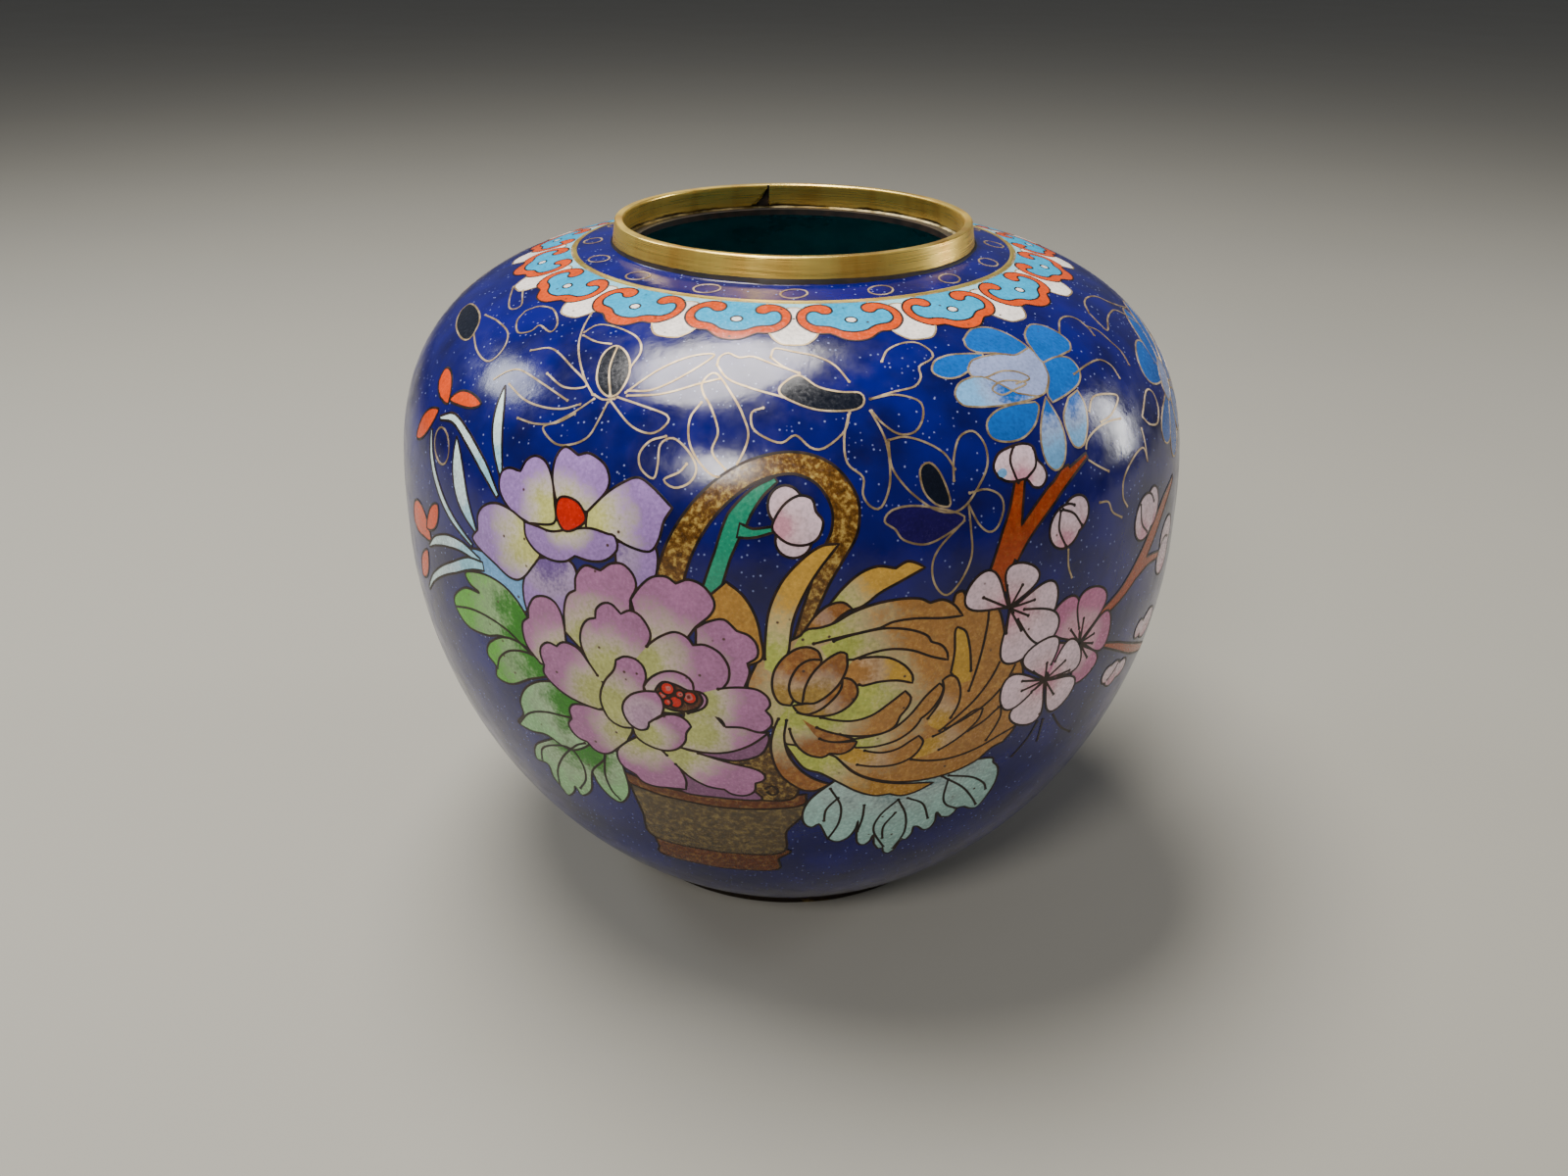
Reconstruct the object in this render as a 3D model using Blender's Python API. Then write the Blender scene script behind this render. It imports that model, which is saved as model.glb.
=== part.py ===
"""Globular cloisonne jar, open at the mouth and without a lid.

It is an enamelled copper wall, a brass rim soldered round the mouth and a brass ring under the foot.
Metres, +Z up. The origin is on the jar's axis, on the surface that the foot ring stands on.
The jar's front is towards -Y.
"""

import math

import bmesh
import bpy

# Outline of the body. A fullness is the exponent of the curve: 2 is an ellipse, and more is squarer.
BELLY_RADIUS = 0.0890
BELLY_HEIGHT = 0.0883
SHOULDER_FULLNESS = 3.2
SIDE_FULLNESS = 1.9

# The wall is hammered copper with enamel on both faces.
WALL = 0.0022
MOUTH_RADIUS = 0.0353
NECK_HEIGHT = 0.1491

# Brass rim round the mouth: a bent strip that leans in a little and stands in a shallow seat.
RIM_RADIUS = 0.0399
RIM_LEAN = 0.0007
RIM_WALL = 0.0019
RIM_STAND = 0.0050
RIM_SEAT = 0.0006
LIP_CHAMFER = 0.0005
COLLAR_WIDTH = 0.0018
COLLAR_RISE = 0.0005

# Brass ring under the foot.
FOOT_RADIUS = 0.0440
FOOT_FLARE = 0.0012
FOOT_WALL = 0.0028
FOOT_HEIGHT = 0.0032
FOOT_EDGE = 0.0004
FOOT_LEDGE = 0.0010
BASE_RECESS = 0.0020

# The strip's two ends meet at the back, where the solder has left a wedge-shaped hollow inside.
SEAM_ANGLE = math.radians(99.5)
SEAM_WIDTH = 0.0042
SEAM_DEPTH = 0.0010
SEAM_LIP = 0.0009

# Two pieces that touch keep this gap.
JOINT_GAP = 0.0003

SEGMENTS = 72
SIDE_STEPS = 12
SHOULDER_STEPS = 13
COLLAR_STEPS = 3
INNER_SIDE_STEPS = 10
INNER_SHOULDER_STEPS = 10

# Heights and radii that follow from the sizes above.
SEAT_HEIGHT = FOOT_HEIGHT + JOINT_GAP
SEAT_RADIUS = FOOT_RADIUS + FOOT_FLARE + FOOT_LEDGE
RECESS_RADIUS = FOOT_RADIUS - FOOT_WALL
BASE_HEIGHT = SEAT_HEIGHT + BASE_RECESS
FLOOR_HEIGHT = BASE_HEIGHT + WALL
COLLAR_INNER = RIM_RADIUS + JOINT_GAP
COLLAR_OUTER = COLLAR_INNER + COLLAR_WIDTH
COLLAR_FOOT = NECK_HEIGHT - COLLAR_RISE
RIM_FLOOR = NECK_HEIGHT - RIM_SEAT
RIM_BOTTOM = RIM_FLOOR + JOINT_GAP
RIM_TOP = NECK_HEIGHT + RIM_STAND
RIM_TOP_RADIUS = RIM_RADIUS - RIM_LEAN


def semi_height(rise, share, fullness):
    """Height of a quarter curve that has climbed by rise where its radius is this share of the widest."""
    return rise / (1 - share**fullness) ** (1 / fullness)


SHOULDER_HEIGHT = semi_height(COLLAR_FOOT - BELLY_HEIGHT, COLLAR_OUTER / BELLY_RADIUS, SHOULDER_FULLNESS)
SIDE_HEIGHT = semi_height(BELLY_HEIGHT - SEAT_HEIGHT, SEAT_RADIUS / BELLY_RADIUS, SIDE_FULLNESS)


def rise_at(radius, widest, height, fullness):
    """How far a quarter curve has climbed from its widest place where it has this radius."""
    return height * (1 - (radius / widest) ** fullness) ** (1 / fullness)


def radius_at(rise, widest, height, fullness):
    """Radius of a quarter curve where it has climbed by rise."""
    return widest * (1 - (rise / height) ** fullness) ** (1 / fullness)


def quarter(widest, height, fullness, rise, radius, steps):
    """Points (radius, climb) from the widest place to (radius, rise), evenly turned about the centre."""
    last = math.atan2(rise, radius)
    points = []
    for step in range(steps + 1):
        turn = last * step / steps
        reach = (
            (math.cos(turn) / widest) ** fullness + (math.sin(turn) / height) ** fullness
        ) ** (-1 / fullness)
        points.append((reach * math.cos(turn), reach * math.sin(turn)))
    return points


def outer_line():
    """The enamelled outside, from the foot seat up to the edge beside the rim."""
    side = quarter(
        BELLY_RADIUS, SIDE_HEIGHT, SIDE_FULLNESS, BELLY_HEIGHT - SEAT_HEIGHT, SEAT_RADIUS, SIDE_STEPS
    )
    shoulder = quarter(
        BELLY_RADIUS,
        SHOULDER_HEIGHT,
        SHOULDER_FULLNESS,
        COLLAR_FOOT - BELLY_HEIGHT,
        COLLAR_OUTER,
        SHOULDER_STEPS,
    )
    line = [(r, BELLY_HEIGHT - z) for r, z in reversed(side)]
    line += [(r, BELLY_HEIGHT + z) for r, z in shoulder[1:]]
    for step in range(1, COLLAR_STEPS + 1):
        turn = math.pi / 2 * step / COLLAR_STEPS
        line.append(
            (COLLAR_OUTER - COLLAR_WIDTH * math.sin(turn), NECK_HEIGHT - COLLAR_RISE * math.cos(turn))
        )
    return line


def inner_line():
    """The lined inside, from the edge of the mouth down to the floor."""
    widest = BELLY_RADIUS - WALL
    shoulder_height = SHOULDER_HEIGHT - WALL
    side_height = SIDE_HEIGHT - WALL
    mouth_rise = rise_at(MOUTH_RADIUS, widest, shoulder_height, SHOULDER_FULLNESS)
    floor_drop = BELLY_HEIGHT - FLOOR_HEIGHT
    floor_radius = radius_at(floor_drop, widest, side_height, SIDE_FULLNESS)
    shoulder = quarter(
        widest, shoulder_height, SHOULDER_FULLNESS, mouth_rise, MOUTH_RADIUS, INNER_SHOULDER_STEPS
    )
    side = quarter(widest, side_height, SIDE_FULLNESS, floor_drop, floor_radius, INNER_SIDE_STEPS)
    line = [(r, BELLY_HEIGHT + z) for r, z in reversed(shoulder)]
    return line + [(r, BELLY_HEIGHT - z) for r, z in side[1:]]


def body_section():
    """Half of the wall, cut through the axis: outside, mouth, inside, floor and base."""
    section = outer_line()
    section += [(COLLAR_INNER, RIM_FLOOR), (MOUTH_RADIUS, RIM_FLOOR)]
    section += inner_line()
    section += [(0.0, FLOOR_HEIGHT), (0.0, BASE_HEIGHT)]
    section += [(RECESS_RADIUS, BASE_HEIGHT), (RECESS_RADIUS, SEAT_HEIGHT)]
    return section


def rim_section():
    """The brass strip, with its lip chamfered on both edges."""
    inner = RIM_RADIUS - RIM_WALL
    top_inner = RIM_TOP_RADIUS - RIM_WALL
    return [
        (RIM_RADIUS, RIM_BOTTOM),
        (RIM_RADIUS, NECK_HEIGHT),
        (RIM_TOP_RADIUS, RIM_TOP - LIP_CHAMFER),
        (RIM_TOP_RADIUS - LIP_CHAMFER, RIM_TOP),
        (top_inner + LIP_CHAMFER, RIM_TOP),
        (top_inner, RIM_TOP - LIP_CHAMFER),
        (inner, RIM_BOTTOM),
    ]


def foot_section():
    """The foot ring, wider at the top, with a worn lower edge."""
    inner = FOOT_RADIUS - FOOT_WALL
    return [
        (FOOT_RADIUS - FOOT_EDGE, 0.0),
        (FOOT_RADIUS, FOOT_EDGE),
        (FOOT_RADIUS + FOOT_FLARE, FOOT_HEIGHT),
        (inner, FOOT_HEIGHT),
        (inner, FOOT_EDGE),
        (inner + FOOT_EDGE, 0.0),
    ]


def material(name, colour, roughness, metallic):
    """A plain Principled material."""
    made = bpy.data.materials.new(name)
    made.use_nodes = True
    shader = made.node_tree.nodes["Principled BSDF"]
    shader.inputs["Base Color"].default_value = (*colour, 1.0)
    shader.inputs["Roughness"].default_value = roughness
    shader.inputs["Metallic"].default_value = metallic
    return made


def turned(name, section, finish):
    """Spins a closed section, given as (radius, height) points, about the jar's axis."""
    shape = bmesh.new()
    corners = [shape.verts.new((r, 0.0, z)) for r, z in section]
    for first, second in zip(corners, corners[1:] + corners[:1]):
        if first.co.x > 0 or second.co.x > 0:
            shape.edges.new((first, second))
    bmesh.ops.spin(
        shape,
        geom=shape.verts[:] + shape.edges[:],
        cent=(0, 0, 0),
        axis=(0, 0, 1),
        angle=2 * math.pi,
        steps=SEGMENTS,
        use_merge=True,
    )
    bmesh.ops.remove_doubles(shape, verts=shape.verts[:], dist=1e-6)
    bmesh.ops.recalc_face_normals(shape, faces=shape.faces[:])
    mesh = bpy.data.meshes.new(name)
    shape.to_mesh(mesh)
    shape.free()
    mesh.materials.append(finish)
    mesh.shade_smooth()
    mesh.set_sharp_from_angle(angle=math.radians(35))
    made = bpy.data.objects.new(name, mesh)
    bpy.context.scene.collection.objects.link(made)
    return made


def seam_cutter():
    """A wedge that leans on the rim's inner wall at the back: a point at the lip and broad at the seat."""
    inner = RIM_RADIUS - RIM_WALL
    overshoot = inner / 4
    far = inner + SEAM_DEPTH
    near = inner - overshoot
    top = RIM_TOP - SEAM_LIP
    bottom = RIM_BOTTOM - RIM_SEAT
    shape = bmesh.new()
    rows = []
    for radius in (near, far):
        rows.append(
            [
                shape.verts.new((radius, 0.0, top)),
                shape.verts.new((radius, SEAM_WIDTH, bottom)),
                shape.verts.new((radius, -SEAM_WIDTH / 8, bottom)),
            ]
        )
    shape.faces.new(rows[0])
    shape.faces.new(rows[1])
    for first in range(3):
        second = (first + 1) % 3
        shape.faces.new((rows[0][first], rows[0][second], rows[1][second], rows[1][first]))
    bmesh.ops.recalc_face_normals(shape, faces=shape.faces[:])
    mesh = bpy.data.meshes.new("seam_cutter")
    shape.to_mesh(mesh)
    shape.free()
    cutter = bpy.data.objects.new("seam_cutter", mesh)
    bpy.context.scene.collection.objects.link(cutter)
    cutter.rotation_euler.z = SEAM_ANGLE
    cutter.hide_render = True
    cutter.display_type = "WIRE"
    return cutter


def main():
    for old in list(bpy.data.objects):
        bpy.data.objects.remove(old)
    enamel = material("cobalt_enamel", (0.012, 0.018, 0.19), 0.18, 0.0)
    brass = material("polished_brass", (0.66, 0.47, 0.16), 0.28, 1.0)
    turned("jar_body", body_section(), enamel)
    rim = turned("mouth_rim", rim_section(), brass)
    turned("foot_ring", foot_section(), brass)
    seam = rim.modifiers.new("seam", "BOOLEAN")
    seam.operation = "DIFFERENCE"
    seam.object = seam_cutter()


main()
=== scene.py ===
"""Cloisonne jar, built over its CAD frame: enamelled copper wall, wires, brass rim and brass foot ring.

The wall's outside is treated as a flat picture. A place in it is (right, up) in millimetres: right of the
line that runs up the jar's front, and up along the wall from the belly's widest line. The front is -Y.
"""

import math

import bpy
import numpy as np
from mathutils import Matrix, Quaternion, Vector
from mathutils.geometry import delaunay_2d_cdt


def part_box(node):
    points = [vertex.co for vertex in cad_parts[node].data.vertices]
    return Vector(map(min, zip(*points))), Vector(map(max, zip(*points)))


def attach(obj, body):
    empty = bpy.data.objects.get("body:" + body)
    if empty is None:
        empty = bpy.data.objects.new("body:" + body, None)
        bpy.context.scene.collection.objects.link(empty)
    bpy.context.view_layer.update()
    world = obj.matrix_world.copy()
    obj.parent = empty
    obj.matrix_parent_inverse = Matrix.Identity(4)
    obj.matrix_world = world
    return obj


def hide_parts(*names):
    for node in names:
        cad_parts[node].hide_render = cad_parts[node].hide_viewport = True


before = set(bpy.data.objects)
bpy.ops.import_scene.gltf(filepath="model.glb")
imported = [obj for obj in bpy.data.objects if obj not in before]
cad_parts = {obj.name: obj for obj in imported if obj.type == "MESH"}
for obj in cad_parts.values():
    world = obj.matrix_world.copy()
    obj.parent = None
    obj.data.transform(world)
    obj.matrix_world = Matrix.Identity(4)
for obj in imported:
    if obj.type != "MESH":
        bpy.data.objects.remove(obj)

bl_info = {
    "name": "Cloisonne Jar",
    "version": (1, 0, 0),
    "blender": (4, 5, 0),
    "location": "3D View > Sidebar > Jar",
    "description": "Builds an enamelled jar with wire-divided flowers round its wall",
    "category": "Add Mesh",
}

MM = 0.001

# Sizes that come from the CAD frame, in metres.
BODY_LOW, BODY_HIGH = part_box("jar_body")
RIM_LOW, RIM_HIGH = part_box("mouth_rim")
FOOT_LOW, FOOT_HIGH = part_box("foot_ring")
BELLY_RADIUS = (BODY_HIGH.x - BODY_LOW.x) / 2
SEAT_HEIGHT = BODY_LOW.z
NECK_HEIGHT = BODY_HIGH.z
RIM_RADIUS = (RIM_HIGH.x - RIM_LOW.x) / 2
RIM_BOTTOM, RIM_TOP = RIM_LOW.z, RIM_HIGH.z
FOOT_TOP_RADIUS = (FOOT_HIGH.x - FOOT_LOW.x) / 2
FOOT_HEIGHT = FOOT_HIGH.z

# Form of the wall. A fullness is the exponent of the curve: 2 is an ellipse, and more is squarer.
BELLY_HEIGHT = 88.3 * MM
SHOULDER_FULLNESS = 3.2
SIDE_FULLNESS = 1.9
WALL = 2.2 * MM
MOUTH_RADIUS = 35.3 * MM
COLLAR_WIDTH = 1.8 * MM
COLLAR_RISE = 0.5 * MM
JOINT_GAP = 0.3 * MM
FOOT_WALL = 2.8 * MM
FOOT_FLARE = 1.2 * MM
FOOT_LEDGE = 1.0 * MM
FOOT_EDGE = 0.4 * MM
BASE_RECESS = 2.0 * MM
RIM_LEAN = 0.7 * MM
RIM_WALL = 1.9 * MM
RIM_SEAT = 0.6 * MM
LIP_ROUND = 0.45 * MM

# The rim's strip meets itself at the back, where the solder has left a wedge-shaped hollow inside.
SEAM_ANGLE = math.radians(99.5)
SEAM_WIDTH = 4.2 * MM
SEAM_DEPTH = 1.0 * MM
SEAM_LIP = 0.9 * MM

COLLAR_INNER = RIM_RADIUS + JOINT_GAP
COLLAR_OUTER = COLLAR_INNER + COLLAR_WIDTH
COLLAR_FOOT = NECK_HEIGHT - COLLAR_RISE
RIM_FLOOR = NECK_HEIGHT - RIM_SEAT
SEAT_RADIUS = FOOT_TOP_RADIUS + FOOT_LEDGE
RECESS_RADIUS = FOOT_TOP_RADIUS - FOOT_FLARE - FOOT_WALL
BASE_HEIGHT = SEAT_HEIGHT + BASE_RECESS
FLOOR_HEIGHT = BASE_HEIGHT + WALL

# Segments round the axis, and steps along the wall.
ROUND = 288
SIDE_STEPS = 56
SHOULDER_STEPS = 60
INNER_STEPS = 24
COLLAR_STEPS = 5

# Steps in millimetres along outlines, and between the points inside a cell and their rows.
OUTLINE_STEP = 0.7
CELL_STEP = 2.2
ROW_STEP = CELL_STEP * 0.87

# The fewest points of a petal's and of a round spot's outline.
PETAL_POINTS = 14
DISC_POINTS = 12

# How far round a petal is, in lengths of the petal, when its points are counted.
PETAL_ROUND = 2.4

# The share of a blade's length that is as wide as its end, and the power that makes it broadest just past
# its middle.
BLADE_END = 0.002
BLADE_SKEW = 1.15


def semi_height(rise, share, fullness):
    """Height of a quarter curve that has climbed by rise where its radius is this share of the widest."""
    return rise / (1 - share**fullness) ** (1 / fullness)


SHOULDER_HEIGHT = semi_height(COLLAR_FOOT - BELLY_HEIGHT, COLLAR_OUTER / BELLY_RADIUS, SHOULDER_FULLNESS)
SIDE_HEIGHT = semi_height(BELLY_HEIGHT - SEAT_HEIGHT, SEAT_RADIUS / BELLY_RADIUS, SIDE_FULLNESS)


def rise_at(radius, widest, height, fullness):
    """How far a quarter curve has climbed from its widest place where it has this radius."""
    return height * (1 - (radius / widest) ** fullness) ** (1 / fullness)


def quarter(widest, height, fullness, rise, radius, steps):
    """Points (radius, climb) from the widest place to (radius, rise), evenly turned about the centre."""
    turn = np.linspace(0, math.atan2(rise, radius), steps + 1)
    reach = ((np.cos(turn) / widest) ** fullness + (np.sin(turn) / height) ** fullness) ** (-1 / fullness)
    return np.stack((reach * np.cos(turn), reach * np.sin(turn)), -1)


def outer_line():
    """The enamelled outside, from the foot seat up to the edge beside the rim."""
    drop, climb = BELLY_HEIGHT - SEAT_HEIGHT, COLLAR_FOOT - BELLY_HEIGHT
    side = quarter(BELLY_RADIUS, SIDE_HEIGHT, SIDE_FULLNESS, drop, SEAT_RADIUS, SIDE_STEPS)
    shoulder = quarter(BELLY_RADIUS, SHOULDER_HEIGHT, SHOULDER_FULLNESS, climb, COLLAR_OUTER, SHOULDER_STEPS)
    return np.vstack((side[::-1] * (1, -1), shoulder[1:])) + (0, BELLY_HEIGHT)


def inner_line():
    """The lined inside, from the edge of the mouth down to the floor."""
    widest = BELLY_RADIUS - WALL
    height, depth = SHOULDER_HEIGHT - WALL, SIDE_HEIGHT - WALL
    floor_drop = BELLY_HEIGHT - FLOOR_HEIGHT
    floor_radius = widest * (1 - (floor_drop / depth) ** SIDE_FULLNESS) ** (1 / SIDE_FULLNESS)
    mouth_rise = rise_at(MOUTH_RADIUS, widest, height, SHOULDER_FULLNESS)
    shoulder = quarter(widest, height, SHOULDER_FULLNESS, mouth_rise, MOUTH_RADIUS, INNER_STEPS)
    side = quarter(widest, depth, SIDE_FULLNESS, floor_drop, floor_radius, INNER_STEPS)
    return np.vstack((shoulder[::-1], side[1:] * (1, -1))) + (0, BELLY_HEIGHT)


def reach_along(line):
    """How far along a line each of its points is."""
    return np.concatenate(((0,), np.cumsum(np.hypot(*np.diff(line, axis=0).T))))


def headings(line, *places):
    """The direction of a line at each of its points, with a length of 1."""
    ahead = np.gradient(line, *places, axis=0)
    return ahead / np.hypot(*ahead.T)[:, None]


# The outside, how far up the wall from the belly line each of its points is, and where it heads there.
OUTSIDE = outer_line()
WALL_UP = (reach_along(OUTSIDE) - reach_along(OUTSIDE)[SIDE_STEPS]) / MM
WALL_HEADING = headings(OUTSIDE, WALL_UP)


def place(points, lift=0.0, turn=0.0):
    """Places in the picture as points in space, lift metres off the wall, and the wall's normals there."""
    points = np.asarray(points, float)
    radius = np.interp(points[:, 1], WALL_UP, OUTSIDE[:, 0])
    height = np.interp(points[:, 1], WALL_UP, OUTSIDE[:, 1])
    out = np.interp(points[:, 1], WALL_UP, WALL_HEADING[:, 1])
    up = -np.interp(points[:, 1], WALL_UP, WALL_HEADING[:, 0])
    angle = turn + points[:, 0] * MM / radius
    normals = np.stack((out * np.sin(angle), -out * np.cos(angle), up), -1)
    normals /= np.linalg.norm(normals, axis=1)[:, None]
    spots = np.stack((radius * np.sin(angle), -radius * np.cos(angle), height), -1)
    return spots + lift * normals, normals


def smooth(points, closed=False):
    """A curve through the points in even steps."""
    points = np.array(points, float)
    if closed:
        ring = np.vstack((points[-1], points, points[:2]))
    else:
        ring = np.vstack((2 * points[0] - points[1], points, 2 * points[-1] - points[-2]))
    curve = []
    for before, start, end, after in zip(ring, ring[1:], ring[2:], ring[3:]):
        count = max(2, round(math.dist(start, end) / OUTLINE_STEP))
        share = np.linspace(0, 1, count, endpoint=False)[:, None]
        bend = 2 * before - 5 * start + 4 * end - after
        twist = 3 * start - before - 3 * end + after
        curve.append((2 * start + (end - before) * share + bend * share**2 + twist * share**3) / 2)
    if not closed:
        curve.append(points[-1:])
    return np.vstack(curve)


def edge(*runs):
    """A closed outline of curves that meet in sharp corners. Each run starts where the one before it ends."""
    parts = []
    for run, following in zip(runs, runs[1:] + runs[:1]):
        parts.append(smooth(list(run) + [following[0]])[:-1])
    return np.vstack(parts)


def petal(base, tip, width, bend=0.0, fullness=0.5):
    """A petal, narrow at its base and broad near its tip, whose middle is bent to the left by bend."""
    base, tip = np.array(base, float), np.array(tip, float)
    length = math.dist(base, tip)
    along = (tip - base) / length
    left = np.array((-along[1], along[0]))
    count = max(PETAL_POINTS, int(PETAL_ROUND * max(length, width) / OUTLINE_STEP))
    turn = np.linspace(0, 2 * np.pi, count, endpoint=False)
    climb = (1 - np.cos(turn)) / 2
    widest = (fullness + 0.5) / (fullness + 1)
    most = widest ** (fullness + 0.5) * (1 - widest) ** 0.5
    across = np.sin(turn) / 2 * climb**fullness / most * width / 2 + bend * 4 * climb * (1 - climb)
    return base + (climb * length)[:, None] * along + across[:, None] * left


def strip(line, half):
    """The outline of a strip that reaches half its width to either side of a line."""
    ahead = headings(line)
    aside = np.stack((-ahead[:, 1], ahead[:, 0]), -1) * half[:, None]
    return np.vstack((line + aside, (line - aside)[::-1]))


def ribbon(points, widths):
    """A strip along a curve, as wide at each of the points as its width says."""
    line = smooth(points)
    reach = reach_along(line)
    marks = [reach[np.argmin(np.hypot(*(line - spot).T))] for spot in np.array(points, float)]
    return strip(line, np.interp(reach, marks, np.array(widths, float) / 2))


def blade(points, width, sharpness):
    """A long petal along a curve, broadest just past its middle."""
    line = smooth(points)
    share = np.clip(reach_along(line) / reach_along(line)[-1], BLADE_END, 1 - BLADE_END)
    return strip(line, width / 2 * np.sin(np.pi * share**BLADE_SKEW) ** sharpness)


def disc(centre, radius, tall=None):
    """A circle, or an upright ellipse whose second radius is tall."""
    tall = tall or radius
    count = max(DISC_POINTS, int(2 * math.pi * max(radius, tall) / OUTLINE_STEP))
    turn = np.linspace(0, 2 * np.pi, count, endpoint=False)
    return np.array(centre, float) + np.stack((radius * np.cos(turn), tall * np.sin(turn)), -1)


def inside(points, outline):
    """Numbers of the points that lie inside the outline."""
    low, high = outline.min(0), outline.max(0)
    near = np.flatnonzero(np.all((points > low) & (points < high), axis=1))
    first, second = outline, np.roll(outline, -1, axis=0)
    right, up = points[near, :1], points[near, 1:]
    spans = (first[:, 1] > up) != (second[:, 1] > up)
    climb = np.where(first[:, 1] == second[:, 1], 1.0, second[:, 1] - first[:, 1])
    crossing = first[:, 0] + (up - first[:, 1]) / climb * (second[:, 0] - first[:, 0])
    return near[np.count_nonzero(spans & (right < crossing), axis=1) % 2 == 1]


class Picture:
    """Cells of enamel and the wires between them, laid down from the back of the picture to its front."""

    def __init__(self):
        self.cells = []
        self.strokes = []

    def cell(self, piece, outline, glazes, start, end, root=0.0):
        """One cell. Its glaze runs from the second name at start to the first name at end.

        Cells of one piece have no wire between them within root millimetres of start.
        """
        self.cells.append(
            {
                "piece": piece,
                "outline": np.asarray(outline),
                "glazes": glazes,
                "start": np.array(start, float),
                "end": np.array(end, float),
                "root": root,
            }
        )

    def plain(self, piece, glaze, outline):
        """One cell of a single glaze."""
        self.cell(piece, outline, (glaze, glaze), outline[0], outline.mean(axis=0))

    def outlined(self, piece, rows, root=0.0):
        """Cells with corners: the glazes, start, end and runs of each."""
        for glazes, start, end, *runs in rows:
            self.cell(piece, edge(*runs), glazes, start, end, root)

    def curved(self, piece, rows):
        """Cells without corners: the glazes, start, end and points of each."""
        for glazes, start, end, points in rows:
            self.cell(piece, smooth(points, True), glazes, start, end)

    def ribbons(self, piece, glazes, rows, root=0.0):
        """Cells along a curve: the points and widths of each."""
        for points, widths in rows:
            self.cell(piece, ribbon(points, widths), glazes, points[0], points[-1], root)

    def blades(self, piece, glazes, sharpness, rows):
        """Cells with the outline of a blade: the points and width of each."""
        for points, width in rows:
            self.cell(piece, blade(points, width, sharpness), glazes, points[0], points[-1])

    def wire(self, kind, points, closed=False):
        """A wire that ends inside a cell. Cells laid down after it hide it."""
        line = smooth(points, closed)
        if closed:
            line = np.vstack((line, line[:1]))
        self.strokes.append({"kind": kind, "line": line, "under": len(self.cells)})

    def wires(self, kind, lines):
        """Wires of one kind."""
        for line in lines:
            self.wire(kind, line)


def linear(code):
    """An sRGB hex colour such as 1a2b3c as linear values."""
    values = [int(code[spot : spot + 2], 16) / 255 for spot in (0, 2, 4)]
    bright = [((value + 0.055) / 1.055) ** 2.4 if value > 0.04045 else value / 12.92 for value in values]
    return [*bright, 1.0]


# What a user may recolour: the sRGB colour, and where it is seen.
COLOURS = {
    "cobalt_deep": ("040342", "Ground of the jar, where the blue is deepest"),
    "cobalt_bright": ("0a066a", "Ground of the jar, where the blue is brightest"),
    "lining_blue": ("2a949c", "Enamel inside the jar"),
    "base_blue": ("1c2a6c", "Enamel under the base"),
    "rim_gold": ("ffdc70", "Brass rim round the mouth"),
    "foot_gold": ("e2bc66", "Brass ring under the foot"),
    "wire_brown": ("301c12", "Wires round the flowers"),
    "wire_gilt": ("c4ae88", "Wires in the scrolls and the collar"),
    "floor_grey": ("94928a", "Floor of the studio"),
    "rose": ("a8769a", "Edges of the peony's petals"),
    "rose_deep": ("7e5676", "Lower petals of the peony"),
    "rose_pale": ("b494ac", "Rolled petal in the peony's middle"),
    "lime": ("b4b678", "Roots of the peony's petals"),
    "violet": ("a284be", "Edges of the violet flower's petals"),
    "violet_deep": ("7a629c", "Lower petals of the violet flower"),
    "lemon": ("d0cf86", "Roots of the violet flower's petals"),
    "crimson": ("c82414", "Heart of the violet flower, and the peony's stamens"),
    "crimson_dark": ("6e1410", "Darker stamens of the peony"),
    "garnet": ("4a1c18", "Bed of the peony's stamens"),
    "ochre": ("ae8050", "Curled petals of the yellow flower"),
    "amber": ("c49e54", "Outer petals of the yellow flower"),
    "moss": ("b8c26a", "Roots of the yellow flower's petals"),
    "orange": ("b98c50", "Body of the yellow flower"),
    "orange_pale": ("d2a85e", "Lighter petals of the yellow flower"),
    "bronze": ("96643e", "Rolled petals in the yellow flower's middle"),
    "bronze_pale": ("a88a50", "Lighter rolled petals of the yellow flower"),
    "leaf_green": ("2f7d1a", "Roots of the green leaves"),
    "leaf_mint": ("92be8a", "Tips of the green leaves"),
    "leaf_spring": ("6cb04e", "Tips of the upper green leaves"),
    "leaf_teal": ("3c7682", "Root of the blue leaf"),
    "leaf_pale": ("a2c4be", "Tips of the blue leaf"),
    "ice": ("d4ecea", "Tips of the orchid's leaves"),
    "ice_blue": ("9ed2e4", "Roots of the orchid's leaves"),
    "scarlet": ("dc5430", "Flowers of the orchid"),
    "sky": ("3c66b0", "Petals of the blue flower"),
    "sky_pale": ("80b0dc", "Lighter petals of the blue flower"),
    "lilac_grey": ("96a2c8", "Middle of the blue flower"),
    "terracotta": ("a24220", "Branches"),
    "blush": ("e6ccd6", "Tips of the blossoms and buds"),
    "pink": ("dca4b4", "Middles of the blossoms and buds"),
    "pink_deep": ("bf7c9c", "Petals of the darker blossom"),
    "jade": ("3c9274", "Twig inside the handle"),
    "rust": ("5e2c16", "Bands of the basket"),
    # The basket's body is dark wicker, made darker all over as painted shade, since that part of the wall
    # faces down.
    "wicker": ("4c4434", "Body of the basket"),
    "aventurine": ("6e4a1c", "Handle of the basket"),
    "bronze_dark": ("3c2a10", "Shade under the handle"),
    "ink": ("080e1c", "Black buds of the scroll"),
    "plum_dark": ("221850", "Purple petal of the scroll"),
    "turquoise": ("42a8d4", "Hearts of the collar"),
    "coral": ("d2542c", "Cloud heads of the collar"),
    "white": ("f4ece6", "Petals of the collar"),
}

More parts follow.
